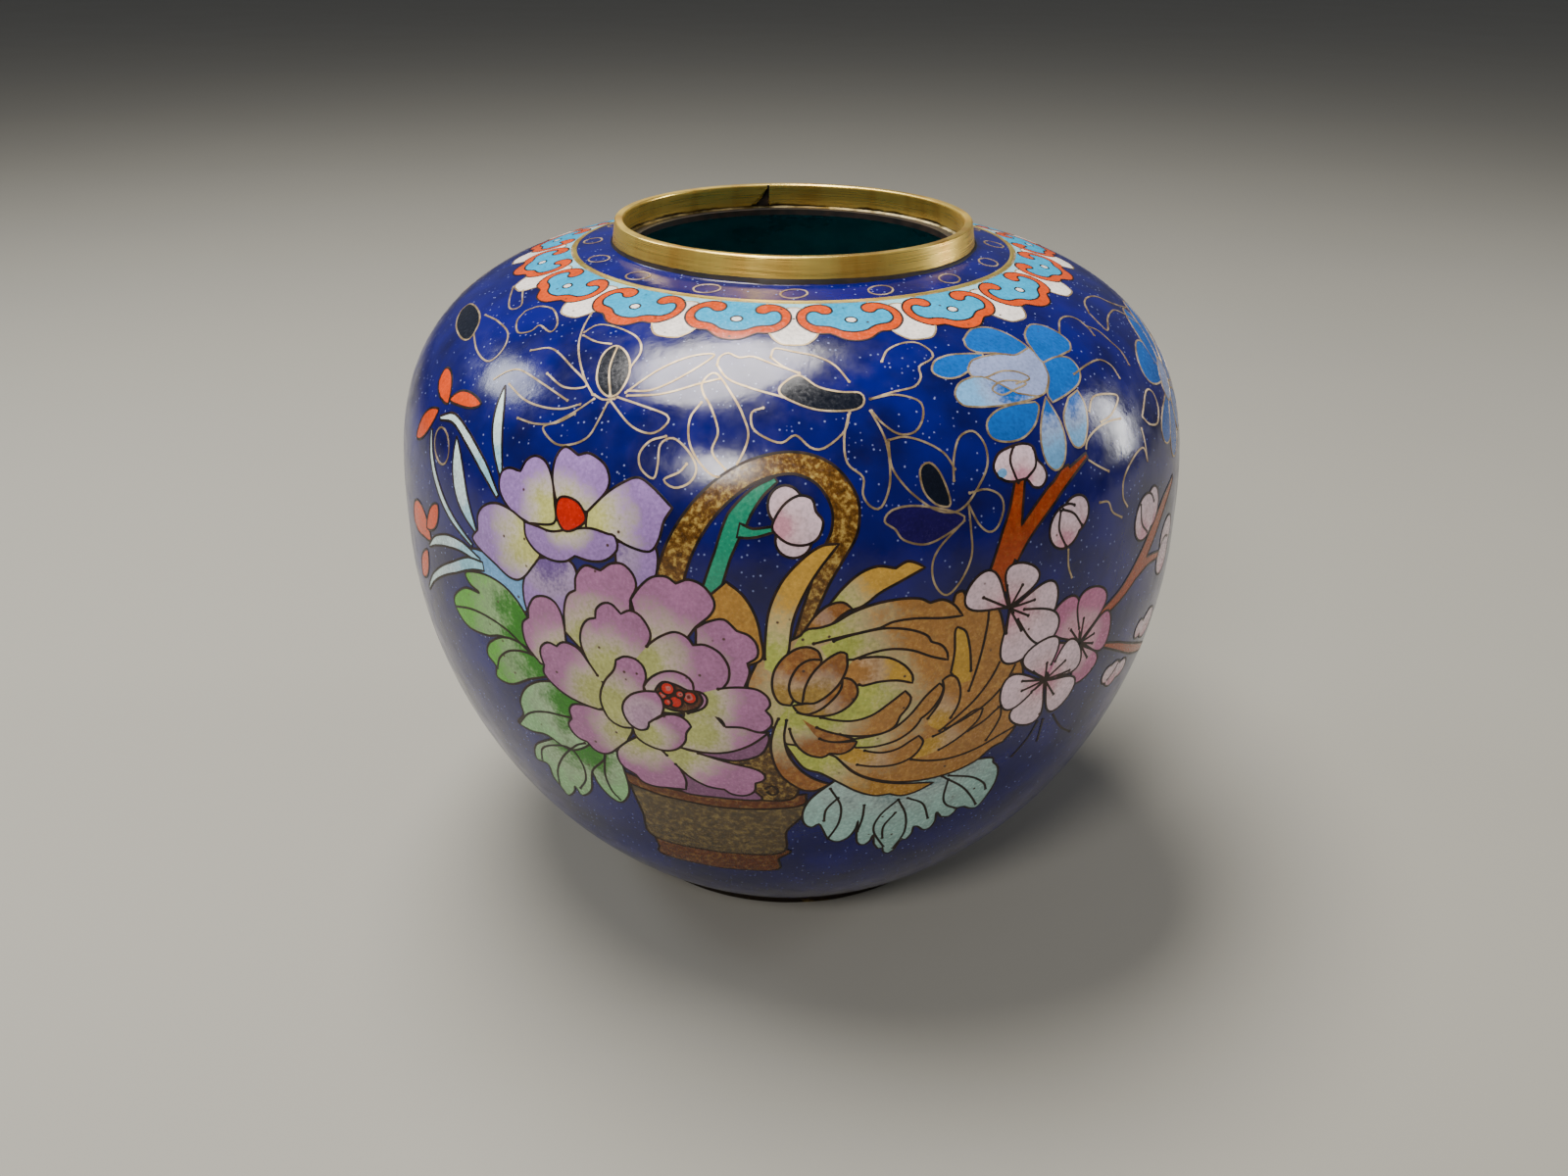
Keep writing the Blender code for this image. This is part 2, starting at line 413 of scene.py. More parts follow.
# How much of a coarse sparkling grain a glaze holds.
GRAINS = {
    "garnet": 0.2,
    "ochre": 0.24,
    "amber": 0.08,
    "orange": 0.26,
    "orange_pale": 0.14,
    "bronze": 0.26,
    "bronze_pale": 0.14,
    "terracotta": 0.1,
    "rust": 0.25,
    "wicker": 0.32,
    "aventurine": 0.85,
    "bronze_dark": 0.6,
}

# Pieces whose wires are thin and pale gold. All other wires are dark brown.
GILT_PIECES = {"scroll_flowers", "scroll_buds"}


# What a user may resize, in millimetres: the size, the least and the most it may be, and what it is.
LENGTHS = {
    "flower_wire": (0.5, 0.2, 1.2, "Width of the brown wires round the flowers"),
    "scroll_wire": (0.38, 0.2, 1.0, "Width of the gilt wires in the scrolls and the collar"),
    "shoulder_wire": (1.3, 0.4, 2.0, "Width of the brass line round the shoulder"),
    "wire_height": (0.22, 0.1, 1.0, "Height of the wire strip, most of which lies in the wall"),
    "wire_rise": (0.07, 0.0, 0.3, "How far the polished wires stand out of the wall"),
    "enamel_rise": (0.04, 0.01, 0.3, "How far the coloured cells stand out of the ground"),
    "cell_depth": (0.12, 0.02, 1.0, "How deep the coloured cells reach into the wall"),
}


class JarSizes(bpy.types.PropertyGroup):
    """Sizes of the jar's wires, cells and collar"""

    __annotations__ = {
        name: bpy.props.FloatProperty(
            name=name.replace("_", " ").title(),
            description=what,
            default=size * MM,
            min=least * MM,
            max=most * MM,
            precision=5,
            unit="LENGTH",
        )
        for name, (size, least, most, what) in LENGTHS.items()
    }
    __annotations__["collar_repeats"] = bpy.props.IntProperty(
        name="Collar Repeats", description="Cloud heads round the neck", default=16, min=8, max=32
    )


class JarColours(bpy.types.PropertyGroup):
    """Colours of the jar's enamels and metals"""

    __annotations__ = {
        name: bpy.props.FloatVectorProperty(
            name=name.replace("_", " ").title(),
            description=where,
            subtype="COLOR",
            min=0.0,
            max=1.0,
            default=linear(code)[:3],
        )
        for name, (code, where) in COLOURS.items()
    }


def colour(name):
    """The user's colour of this name, as linear values."""
    return [*getattr(bpy.context.scene.jar_colours, name), 1.0]


def add_node(tree, kind, sockets=None, **settings):
    """Adds a node. A socket takes a value, or the output that feeds it."""
    made = tree.nodes.new(kind)
    for name, value in settings.items():
        setattr(made, name, value)
    for key, value in (sockets or {}).items():
        if isinstance(value, bpy.types.NodeSocket):
            tree.links.new(value, made.inputs[key])
        else:
            made.inputs[key].default_value = value
    return made


# Nearly all of a noise lies between these two values.
NOISE_RANGE = (0.3, 0.7)


def new_material(name, metallic=0.0):
    """A material with one Principled shader."""
    made = bpy.data.materials.new(name)
    made.use_nodes = True
    shader = made.node_tree.nodes["Principled BSDF"]
    shader.inputs["Metallic"].default_value = metallic
    return made, made.node_tree, shader


def object_place(tree):
    """The place on the jar at which a texture is looked up."""
    return add_node(tree, "ShaderNodeTexCoord").outputs["Object"]


def noise(tree, spot, scale, detail, **more):
    """Soft noise. Nearly all of it lies within NOISE_RANGE."""
    sockets = {"Vector": spot, "Scale": scale, "Detail": detail, **more}
    return add_node(tree, "ShaderNodeTexNoise", sockets).outputs[0]


def stretch(tree, value, low, high, start=0.0, end=1.0, curve="LINEAR"):
    """Turns a value that runs from low to high into one that runs from start to end."""
    sockets = {"Value": value, "From Min": low, "From Max": high, "To Min": start, "To Max": end}
    return add_node(tree, "ShaderNodeMapRange", sockets, interpolation_type=curve).outputs[0]


def reckon(tree, operation, *values):
    """The result of one sum."""
    return add_node(tree, "ShaderNodeMath", dict(enumerate(values)), operation=operation).outputs[0]


def blend(tree, share, first, second):
    """The first colour where the share is 0, and the second where it is 1."""
    return add_node(tree, "ShaderNodeMix", {0: share, 6: first, 7: second}, data_type="RGBA").outputs[2]


def dress(tree, shader, base, rough, height=None, strength=0.0, depth=0.0):
    """Gives a shader its colour and its roughness, and dents where it gets a height."""
    tree.links.new(base, shader.inputs["Base Color"])
    tree.links.new(rough, shader.inputs["Roughness"])
    if height is not None:
        dents = add_node(tree, "ShaderNodeBump", {"Height": height, "Strength": strength, "Distance": depth})
        tree.links.new(dents.outputs[0], shader.inputs["Normal"])


def mottled(name, first, second, scale, sheen, metallic=0.0):
    """A material that drifts in soft clouds between two colours and two values of roughness."""
    made, tree, shader = new_material(name, metallic)
    cloud = noise(tree, object_place(tree), scale, 4.0)
    drift = blend(tree, stretch(tree, cloud, 0.38, 0.64), first, second)
    dress(tree, shader, drift, stretch(tree, cloud, *NOISE_RANGE, *sheen))
    return made


def specks(tree, spot, scale, size, rarity):
    """How much of a small round speck is seen at a place. Only some of the places that could hold one do."""
    dots = add_node(tree, "ShaderNodeTexVoronoi", {"Vector": spot, "Scale": scale})
    chance = add_node(tree, "ShaderNodeSeparateColor", {0: dots.outputs["Color"]}).outputs[0]
    near = stretch(tree, dots.outputs["Distance"], size / 2, size, 1.0, 0.0)
    return reckon(tree, "MULTIPLY", near, reckon(tree, "GREATER_THAN", chance, rarity))


def picture_enamel(name):
    """Opaque glass enamel, fired from powder in the cells and ground flush.

    It looks powdery: two glazes run into each other in grains, with faint clouds, pinholes and a soft gloss.
    """
    made, tree, shader = new_material(name)
    spot = object_place(tree)
    layers = (("tip_glaze", "Color"), ("root_glaze", "Color"), ("climb", "Fac"), ("grain", "Fac"))
    tip, root, climb, grain = (
        add_node(tree, "ShaderNodeAttribute", attribute_name=layer).outputs[kind]
        for layer, kind in layers
    )
    powder = noise(tree, spot, 1500.0, 2.0)
    cloud = noise(tree, spot, 230.0, 3.0)
    stray = reckon(tree, "MULTIPLY_ADD", powder, 0.3, climb)
    drift = reckon(tree, "MULTIPLY_ADD", cloud, 0.5, stray)
    run = stretch(tree, drift, 0.58, 1.14, curve="SMOOTHSTEP")
    # Where two glazes meet halfway the enamel turns milky.
    swing = reckon(tree, "SUBTRACT", run, 0.5)
    milky = stretch(tree, reckon(tree, "MULTIPLY", swing, swing), 0.0, 0.25, 0.24, 0.0)
    glaze = blend(tree, milky, blend(tree, run, root, tip), linear("e8dcd8"))
    shade = stretch(tree, cloud, *NOISE_RANGE, 0.84, 1.08)
    dust = stretch(tree, powder, 0.34, 0.54, 0.8, 1.0)
    value = reckon(tree, "MULTIPLY", shade, dust)
    shaded = add_node(tree, "ShaderNodeHueSaturation", {"Value": value, "Saturation": 1.12, "Color": glaze})
    # Glazes with grain hold flakes of copper.
    sparkle = noise(tree, spot, 850.0, 5.0, Roughness=0.65)
    flakes = add_node(tree, "ShaderNodeValToRGB", {"Fac": stretch(tree, sparkle, 0.36, 0.66)})
    ramp = flakes.color_ramp
    ramp.elements[0].color = linear("1c1004")
    ramp.elements[1].color = linear("dcbc64")
    ramp.elements.new(0.45).color = linear("6a4618")
    grained = blend(tree, reckon(tree, "MULTIPLY", grain, 0.72), shaded.outputs[0], flakes.outputs[0])
    pitted = blend(tree, specks(tree, spot, 420.0, 0.17, 0.82), grained, linear("4a3428"))
    rough = stretch(tree, powder, *NOISE_RANGE, 0.16, 0.3)
    dress(tree, shader, pitted, rough, cloud, 0.3, 0.1 * MM)
    return made


def cobalt_enamel(name):
    """Cobalt glass enamel, fired over copper, ground flush and polished.

    It looks wet and deep: dark clouds, fine pale bubbles near the surface and a hand-ground gloss.
    """
    made, tree, shader = new_material(name)
    spot = object_place(tree)
    depth = stretch(tree, noise(tree, spot, 90.0, 4.0), 0.32, 0.68)
    blue = blend(tree, depth, colour("cobalt_deep"), colour("cobalt_bright"))
    bubbles = reckon(tree, "MULTIPLY", specks(tree, spot, 900.0, 0.22, 0.62), 0.55)
    specked = blend(tree, bubbles, blue, linear("9aa8e0"))
    ripple = noise(tree, spot, 240.0, 3.0)
    rough = stretch(tree, ripple, *NOISE_RANGE, 0.12, 0.25)
    dress(tree, shader, specked, rough, ripple, 0.5, 0.15 * MM)
    return made


def lining_enamel(name):
    """Thin glass enamel brushed on inside the jar and left as fired: plain, cloudy and half glossy."""
    return mottled(name, linear("1a747e"), colour("lining_blue"), 70.0, (0.24, 0.36))


def counter_enamel(name):
    """Glass enamel under the base, fired and not polished: dark, cloudy and dull."""
    return mottled(name, linear("0c1440"), colour("base_blue"), 120.0, (0.36, 0.5))


def bare_copper(name):
    """Hammered copper sheet, left bare where the brass is soldered on: brown and dull with age."""
    return mottled(name, linear("4a2a1c"), linear("8a5638"), 200.0, (0.42, 0.6), 1.0)


def dark_copper_wire(name):
    """Drawn copper wire, ground flush with the enamel: nearly black, drifting to dark brown in places."""
    return mottled(name, linear("140c08"), colour("wire_brown"), 500.0, (0.3, 0.46), 0.3)


def gilt_wire(name):
    """Drawn copper wire, gilt after polishing: pale gold, worn to a duller tone in places."""
    return mottled(name, linear("8e7650"), colour("wire_gilt"), 400.0, (0.36, 0.46), 0.6)


def turned_brass(name, bright, dull, dark_below, dark_above):
    """Gilt brass strip, brushed round the axis.

    It looks warm and streaky: fine lines round the ring, duller patches, and darker towards the bottom.
    """
    made, tree, shader = new_material(name, 0.9)
    spot = object_place(tree)
    height = add_node(tree, "ShaderNodeSeparateXYZ", {0: spot}).outputs["Z"]
    squash = add_node(tree, "ShaderNodeVectorMath", {0: spot, 1: (60.0, 60.0, 5200.0)}, operation="MULTIPLY")
    lines = noise(tree, squash.outputs[0], 1.0, 3.0)
    cloud = noise(tree, spot, 150.0, 4.0)
    drawn = add_node(tree, "ShaderNodeVectorMath", {0: spot, 1: (110.0, 110.0, 12.0)}, operation="MULTIPLY")
    stains = stretch(tree, noise(tree, drawn.outputs[0], 1.0, 4.0), 0.46, 0.66)
    metal = blend(tree, stains, bright, dull)
    soil = stretch(tree, height, dark_below, dark_above, 0.62, 0.0)
    dirt = stretch(tree, reckon(tree, "MULTIPLY_ADD", cloud, 0.9, soil), 0.78, 1.0)
    dirty = blend(tree, dirt, metal, linear("2a1c0c"))
    rough = stretch(tree, lines, *NOISE_RANGE, 0.22, 0.46)
    dress(tree, shader, dirty, rough, lines, 0.7, 0.06 * MM)
    return made


def brushed_rim_brass(name):
    """The rim's gilt brass: bright yellow, dirty only close to the solder."""
    return turned_brass(name, colour("rim_gold"), linear("e6b454"), RIM_BOTTOM, RIM_BOTTOM + 1.2 * MM)


def brushed_foot_brass(name):
    """The foot's gilt brass: redder and duller, and darker towards the bottom over most of its height."""
    low, high = FOOT_HEIGHT - 0.8 * MM, FOOT_HEIGHT + 6 * MM
    return turned_brass(name, colour("foot_gold"), linear("967a40"), low, high)


def shoulder_brass(name):
    """Brass wire set round the shoulder and polished with the enamel: pale bright yellow."""
    return turned_brass(name, linear("f8dc74"), linear("d2aa50"), 0.0, MM)


def solder_residue_and_shade(name):
    """Old flux and dirt left along the rim's joint: black and matt, with rusty spots; on the ledge inside,
    also painted shade.
    """
    return mottled(name, linear("0a090b"), linear("24160e"), 420.0, (0.5, 0.7))


def solder_line(name):
    """Soft solder that ran along the inside of the rim's joint: pale, dull and lumpy."""
    return mottled(name, linear("6e6444"), linear("ded2a8"), 300.0, (0.4, 0.55), 1.0)


def pale_floor(name):
    """Matt painted board: plain pale grey."""
    return mottled(name, colour("floor_grey"), colour("floor_grey"), 8.0, (0.7, 0.8))


MATERIALS = {
    make.__name__: make
    for make in (
        picture_enamel,
        cobalt_enamel,
        lining_enamel,
        counter_enamel,
        bare_copper,
        dark_copper_wire,
        gilt_wire,
        brushed_rim_brass,
        brushed_foot_brass,
        shoulder_brass,
        solder_residue_and_shade,
        solder_line,
        pale_floor,
    )
}


def material(name):
    """The material of this name, made the first time it is asked for."""
    return bpy.data.materials.get(name) or MATERIALS[name](name)


# Round petals of the blossoms: how much wider than round they are so that they overlap, how full they are,
# and how far from the middle the wires between them start, in millimetres.
PETAL_OVERLAP = 1.1
PETAL_FULLNESS = 0.95
PETAL_OPENING = 4


def basket(picture):
    """The basket: a dark pot between two rusty bands, and its handle."""
    foot_band = edge([(-29, -49)], [(-28.2, -55), (-27.4, -60)], [(-14, -61.5), (-2.6, -60)],
                     [(-2, -54), (-1.4, -49)])
    pot = edge([(-33, -31)], [(-30.8, -41), (-28.8, -51)], [(-14, -52.6), (-1.6, -51)],
               [(-0.5, -42), (1.8, -31)])
    mouth_band = edge(
        [(-32.8, -31.8)],
        [(-26, -33.4), (-12, -34.4), (1.8, -32.8)],
        [(3.4, -29)],
        [(-12, -31.3), (-25, -30.5), (-34, -28.5)],
    )
    picture.plain("basket", "rust", foot_band)
    # The pot's colour is dark wicker with painted shade: darker because the wall faces down there.
    picture.plain("basket", "wicker", pot)
    picture.plain("basket", "rust", mouth_band)
    shade = smooth([(-14, -17), (-3, -14), (1, -22), (1, -30), (-7, -31), (-14, -29)], True)
    picture.plain("handle", "bronze_dark", shade)
    curl = [(-4.6, -27.4), (-3.4, -26.6), (-2.3, -27.5), (-2.4, -28.9), (-3.6, -29.3), (-4.2, -28.5)]
    picture.wire("dark", curl)
    bow = [(-22.7, 17), (-20.5, 24), (-17, 30.3), (-12.3, 35.6), (-6.5, 39.4), (0, 40.8), (5.5, 38.8)]
    bow += [(9, 34), (9.3, 29), (7.6, 25), (5.4, 20), (3.4, 14.5), (1.6, 9), (0, 4)]
    widths = [5.2, 5, 4.6, 4.3, 4, 3.9, 4.4, 4.9, 4.7, 4.2, 3.2, 2.6, 2, 1.6]
    picture.plain("handle", "aventurine", ribbon(bow, widths))


def inner_twig(picture):
    """The green twig with a pink bud inside the handle."""
    picture.ribbons("twig", ("jade", "jade"), (
        ([(-15.2, 15), (-12.4, 24), (-9.8, 30.5), (-6.6, 35), (-3, 37.8)], [3.4, 3, 3.8, 2.4, 1]),
        ([(-9.6, 28.6), (-7, 28.2), (-3.4, 29)], [2.6, 1.6, 1]),
    ))
    glazes = ("blush", "pink")
    picture.cell("buds", disc((-1.3, 33.2), 3.1, 3.6), glazes, (1, 31), (-3, 37))
    picture.cell("buds", disc((0.2, 27), 3.2, 3.1), glazes, (1, 30), (0, 24))
    picture.curved("buds", (
        (glazes, (-3, 29), (5, 31),
         [(-3.6, 29.6), (-1.7, 33.2), (1, 35), (3.4, 34.4), (4.1, 32.2), (5.4, 30.4), (4.6, 27.6),
          (2.5, 26.3), (-0.3, 26.4), (-2.5, 27.7)]),
    ))


def pansy(picture):
    """The small violet flower at the upper left, with a red heart."""
    back = ("violet", "violet_deep")
    picture.outlined("pansy", (
        (back, (-48, 20), (-50, 3), [(-52, 17), (-54.6, 10), (-53, 4), (-47, 3)], [(-41, 6), (-42, 18)]),
        (back, (-36, 24), (-27, 14), [(-33, 24), (-25.5, 24.6), (-24.6, 20), (-27, 14)], [(-32, 12)]),
    ))
    glazes = ("violet", "lemon")
    picture.plain("pansy", "lemon", disc((-43.5, 24.6), 8, 4.4))
    picture.outlined("pansy", (
        (glazes, (-43, 26), (-40.3, 39), [(-45, 28), (-46.3, 33), (-45.6, 37), (-43.5, 39.3)],
         [(-40.6, 38.3), (-38, 39), (-34.6, 37.2), (-34.2, 33.4)], [(-38.5, 28.5)]),
        (glazes, (-46, 26), (-57, 33), [(-45.8, 29), (-46.4, 33), (-48, 35.7), (-50.5, 36.3), (-52.8, 35)],
         [(-54.3, 32.7), (-57.5, 32.6), (-59.7, 31), (-59.8, 27.6), (-56.6, 24.8)],
         [(-52, 23.6), (-46, 25)]),
        (glazes, (-38, 26.5), (-23, 30),
         [(-38.5, 28.5), (-34.6, 32.4), (-31, 35), (-28, 36.2), (-25, 34.6)],
         [(-21.6, 31.6), (-23.2, 29), (-24.2, 25.6), (-26, 23.2), (-30, 23.6)],
         [(-34, 25.2), (-38.5, 25.3)]),
        (glazes, (-51, 20), (-68, 17),
         [(-53.5, 23.8), (-57, 25), (-61, 25.2), (-64.6, 23.8), (-66.8, 21.4)],
         [(-67, 18.4), (-69, 16.2), (-67, 14.6), (-62.6, 13), (-58, 11.2), (-54.6, 12)],
         [(-51, 16), (-49.6, 18.4), (-52, 21)]),
        (glazes, (-43.5, 26), (-44, 17),
         [(-53.3, 23.6), (-53, 20.8), (-50.6, 18.6), (-47, 17.7), (-43.6, 18.2)],
         [(-41.4, 19.7), (-38, 19.4), (-34.8, 20.2), (-32.4, 22.6), (-32.8, 25)],
         [(-34, 25.2), (-38, 25.6), (-42.6, 24.5), (-46.6, 23.3), (-50, 23.5)]),
    ))
    heart = [(-43.2, 30.4), (-40.4, 29.8), (-38.8, 27.2), (-41, 24.9), (-43.8, 24.1), (-45.5, 26.6),
             (-45, 29.5)]
    picture.plain("pansy", "crimson", smooth(heart, True))


def peony(picture):
    """The large mauve flower at the left of the basket: petals round a rolled bud and red stamens."""
    glazes = ("rose", "lime")
    shadow = ("rose_deep", "rose_deep")
    picture.outlined("peony", (
        (shadow, (-25, -20), (-6, -31), [(-25, -20), (-19, -24)], [(-7, -28), (-5.6, -31)],
         [(-14, -31.3), (-21, -31)], [(-24, -27)]),
        (shadow, (-20, -18), (-4, -14), [(-21, -18.4), (-15, -19.6), (-10, -20), (-5.6, -18), (-4, -14.5)],
         [(-4.2, -12.5), (-10, -16), (-16, -18.5)]),
    ))
    picture.outlined("peony", (
        (glazes, (-38, 1), (-36, 20), [(-44.7, 3.5), (-44.6, 8), (-43.6, 11.4)],
         [(-41.7, 12.9), (-41.4, 15.8), (-39.3, 18.3)],
         [(-36, 18), (-33.8, 19.7), (-31.3, 20), (-29.3, 18.3), (-28.8, 16)], [(-30, 13.4), (-31, 6)],
         [(-38, -2)]),
        (glazes, (-26, 0), (-20, 19), [(-30, 13.4), (-28, 16.3), (-25.7, 18.4), (-23, 18.9)],
         [(-21.1, 17.8), (-18.7, 18.8), (-15.9, 17.8), (-14, 15), (-14.6, 12.5)], [(-17.5, 9.6), (-21, 5)],
         [(-27, 2)]),
        (glazes, (-45, -4), (-52, 9),
         [(-44.7, 3.5), (-45.2, 6.8), (-46.6, 9.1), (-49, 9.8), (-51.8, 8.8), (-53.5, 6.2)],
         [(-53.7, 4), (-55.4, 2.4), (-55.6, 0), (-54.6, -2.8)], [(-51.5, -5.6), (-45, -5)]),
        (glazes, (-24, -2), (-8, 8), [(-17.5, 9.4), (-15.2, 10.9), (-12.3, 11.6)],
         [(-9.9, 9.5), (-7.6, 8.6), (-6.2, 6.7), (-6.2, 4.3)], [(-8, 2.9), (-7.6, 0.8)],
         [(-8.8, -3), (-17, -2)]),
        (glazes, (-35.5, -3), (-32, 12),
         [(-37, -5.5), (-39.8, -1.6), (-41.2, 2), (-40.8, 5.2), (-39.4, 7.3)],
         [(-37.6, 8.1), (-37.3, 10), (-35.8, 11.5), (-34, 11.7)],
         [(-32.1, 10.1), (-30.2, 11.1), (-28, 10.2), (-26.3, 7.2), (-27, 4.4)], [(-29.4, 1.2), (-31, -6)]),
        (glazes, (-28, 0), (-13, 3), [(-29.4, 1.2), (-26.6, 4.8), (-24, 7), (-21.4, 8.1), (-19.2, 7.3)],
         [(-18.1, 5.8), (-15.8, 6.1), (-13.1, 4.7), (-11.5, 2), (-11.5, -0.8)],
         [(-12.6, -2.8), (-20, -5), (-28, -5)]),
        (glazes, (-37, -8.5), (-50, -3), [(-37, -5.5), (-39.6, -2), (-41.8, 0.5), (-44.4, 1.2), (-46, 0.7)],
         [(-47, -0.3), (-49.2, -0.1), (-51, -1.6), (-51.3, -3.6)],
         [(-50.6, -5.6), (-50.9, -7.6), (-49, -9.5), (-45.6, -11.3), (-41.6, -12.2)],
         [(-38.2, -12.5), (-34, -10)]),
        (glazes, (-31.5, -15.5), (-45, -20),
         [(-38.2, -12.5), (-41.5, -12.4), (-44.2, -13.1), (-45.3, -14.8)],
         [(-45, -17), (-46, -18.8), (-45.2, -20.9), (-43.6, -22.1)],
         [(-41.9, -22.3), (-40.2, -24.1), (-38, -24.4), (-36.2, -23.4), (-34.6, -21.6)],
         [(-32.3, -19), (-31, -15), (-34, -12)]),
        (glazes, (-29.5, -16.5), (-28, -31), [(-32.3, -19), (-34.6, -21.8), (-34.9, -24.4), (-33.8, -26.8)],
         [(-31.2, -28.3), (-30, -30), (-27.4, -30.8), (-24, -30.4)],
         [(-20.6, -30), (-20.5, -27), (-22, -23.2)], [(-25, -19.8), (-29, -17)]),
        (glazes, (-22, -18.6), (-7, -26),
         [(-25, -19.6), (-22.4, -22.9), (-19.6, -26), (-16.4, -28), (-13.8, -28.5)],
         [(-12.8, -28.5), (-11.2, -29.8), (-8.6, -29.9), (-6.8, -28.4)],
         [(-6.6, -26), (-5, -25.1), (-4.8, -23.6), (-6.6, -22), (-12, -20.6), (-17, -19.2)],
         [(-21.2, -18.1), (-24, -17.5)]),
        (glazes, (-18, -13.5), (-4, -12), [(-20, -9), (-17, -8.9), (-14.2, -9.3)],
         [(-12.3, -11.6), (-9, -11.5), (-6, -12.4)],
         [(-3.9, -12.3), (-7.4, -15.6), (-11.5, -17.8), (-16, -18.6)], [(-21.2, -18.1), (-21, -13)]),
        (glazes, (-17, -6), (-4.5, -6),
         [(-16.2, -4), (-12.8, -2.8), (-9.4, -2.3), (-6.2, -2.6), (-4.2, -4.2), (-3.8, -6)],
         [(-4.6, -7.2), (-3.5, -8.8), (-3.6, -10.8), (-5.6, -12.4), (-9, -11.5)],
         [(-12.3, -11.6), (-13, -10)], [(-14.8, -9.1), (-19, -9), (-19, -5)]),
        (glazes, (-24, -9), (-21, 3),
         [(-28.1, -4.6), (-26.8, -2.6), (-24.6, -0.9), (-22, -0.2), (-19.5, -0.9), (-18.3, -2.4)],
         [(-18.2, -3.9), (-16.4, -4.3), (-15.6, -5.6), (-16.2, -7.4), (-18.2, -8.7), (-21, -9.6)],
         [(-26, -10)]),
    ), 4.5)
    bed = [
        (-25.8, -5.2), (-24.2, -2.9), (-21.6, -3.1), (-19.4, -4), (-17.4, -4.2), (-16.5, -6), (-17.8, -8),
        (-20.4, -9), (-23.4, -8.8), (-25.4, -7.4),
    ]
    picture.cell("stamens", smooth(bed, True), ("garnet", "garnet"), (-21, -6), (-17, -6), 9)
    stamens = ((-24.4, -5.9, 1), (-23.3, -4.2, 1.45), (-21.8, -7, 1.4), (-19, -5.6, 1.45))
    for across, up, radius in (*stamens, (-23.4, -7.3, 0.9), (-20.9, -5.1, 0.9)):
        side = (across + radius, up)
        picture.cell("stamens", disc((across, up), radius), ("crimson", "crimson_dark"), (across, up), side)
    picture.outlined("peony", (
        (glazes, (-35, -11), (-30, 2),
         [(-28.1, -4.6), (-27.5, -2.4), (-28, -0.2), (-29.6, 1.1), (-31.8, 1.2)],
         [(-33.6, 0.1), (-34.2, -2.2), (-36.2, -5), (-37.4, -8), (-37.5, -10.8), (-36, -14.2),
          (-33.4, -15.5)], [(-31, -15.2), (-28, -10)]),
        (glazes, (-27.5, -16), (-20, -12), [(-25.8, -11.7), (-23.7, -10.3), (-21.4, -10.1), (-19.6, -11.2)],
         [(-18.9, -12.4), (-19.9, -14.2), (-20.2, -16.4), (-22, -18.7), (-24.6, -19.6), (-27.8, -19),
          (-30.2, -17.4)], [(-31, -15.1), (-28, -13)]),
        (("rose", "rose_pale"), (-29, -12), (-26, -4),
         [(-25.6, -5.3), (-28.2, -5.7), (-30.8, -7), (-32.5, -9.2), (-32.8, -11.6), (-31.6, -14.2),
          (-29.6, -15.3), (-27.8, -14.6)], [(-27.4, -13), (-26, -11.7)],
         [(-24.7, -10.6), (-24.2, -8.6), (-24.6, -6.6)]),
    ))


